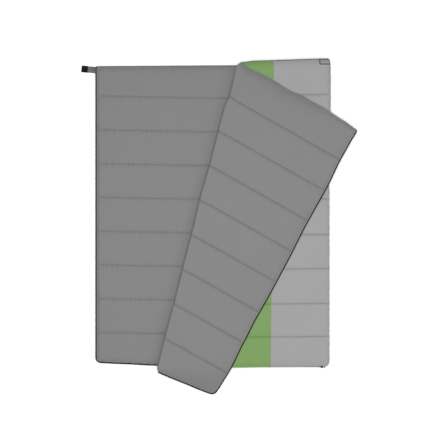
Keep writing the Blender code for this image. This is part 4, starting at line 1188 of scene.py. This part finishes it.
def rounded_like_the_quilt(x, y):
    """The patch's outer corner drawn in with the quilt's."""
    return round_corner(x, y, lambda y: PATCH[1][0] + 0 * y, lambda x: 0.9772 + 0 * x, -1, -1,
                        PATCH_RADIUS)


corner = patch_on_front("corner_patch_weave", patch_weave, PATCH, 0.0004,
                        shape=rounded_like_the_quilt)
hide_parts("corner_patch")
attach(corner, "front")


def overcast(path):
    """A close satin border: a flattened round bead carried along an outline, ribbed by thread."""
    ahead = unit(np.roll(path, -1, axis=0) - np.roll(path, 1, axis=0))
    out = np.cross(ahead, (0, 0, 1.0))
    turn = np.arange(8) * math.pi / 4
    rib = 1 + 0.12 * np.cos(np.arange(len(path)) * math.pi)
    high = np.sin(turn) * BORDER_THICK / 2 * rib[:, None]
    points = (path[:, None] + out[:, None] * (np.cos(turn) * BORDER_WIDTH / 2)[None, :, None]
              + np.array([0, 0, 1.0]) * high[..., None])
    grid = np.arange(len(path) * 8).reshape(-1, 8)
    nxt, after = np.roll(grid, -1, axis=0), np.roll(np.roll(grid, -1, axis=0), -1, axis=1)
    sides = np.stack([grid, np.roll(grid, -1, axis=1), after, nxt], -1).reshape(-1, 4)
    return points.reshape(-1, 3), sides


outline = border_path([(px, py, 0.0) for px, py in PATCH], 0.001)
outline[:, 0], outline[:, 1] = rounded_like_the_quilt(outline[:, 0], outline[:, 1])
outline[:, 2] = on_front(outline[:, 0], outline[:, 1])
for _ in range(12):
    outline[:, 2] = (np.roll(outline[:, 2], 1) + np.roll(outline[:, 2], -1) + 2 * outline[:, 2]) / 4
outline[:, 2] += BORDER_PROUD
border = mesh_piece("corner_patch_border", *overcast(outline), black_thread)
outward_faces(border)
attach(border, "front")

# ---------------------------------------------------------------------------
# The room: a plain pale floor, soft studio light from above and a camera straight overhead.

floor_mesh = bpy.data.meshes.new("floor")
floor_mesh.from_pydata([(-9, -9, -0.0002), (9, -9, -0.0002), (9, 9, -0.0002), (-9, 9, -0.0002)],
                       [], [(0, 1, 2, 3)])
floor_mesh.materials.append(nodes_of("floor_paint", (0.94, 0.94, 0.94), 0.9)[0])
floor = in_scene("floor", floor_mesh)

world = bpy.data.worlds.new("studio")
bpy.context.scene.world = world
world.use_nodes = True
sky = world.node_tree.nodes["Background"]
sky.inputs["Color"].default_value = (1, 1, 1, 1)
sky.inputs["Strength"].default_value = 0.33


def softbox(name, at, size, watts):
    """A square area light at a place, facing the quilt's middle."""
    data = bpy.data.lights.new(name, "AREA")
    data.size, data.energy = size, watts
    lamp = in_scene(name, data)
    lamp.location = at
    lamp.rotation_euler = (math.acos(at[2] / np.linalg.norm(at)), 0, math.atan2(at[0], -at[1]))


softbox("side_light", (4.4, -3.6, 4.6), 4.0, 110)
softbox("top_light", (-0.1, 0.0, 7.0), 3.2, 430)

camera_data = bpy.data.cameras.new("camera")
camera_data.lens = 106.6
camera_data.sensor_width = 36
camera = in_scene("camera", camera_data)
camera.location = (0.0125, 0.0031, 8.0)
bpy.context.scene.camera = camera
bpy.context.scene.view_settings.view_transform = "Standard"
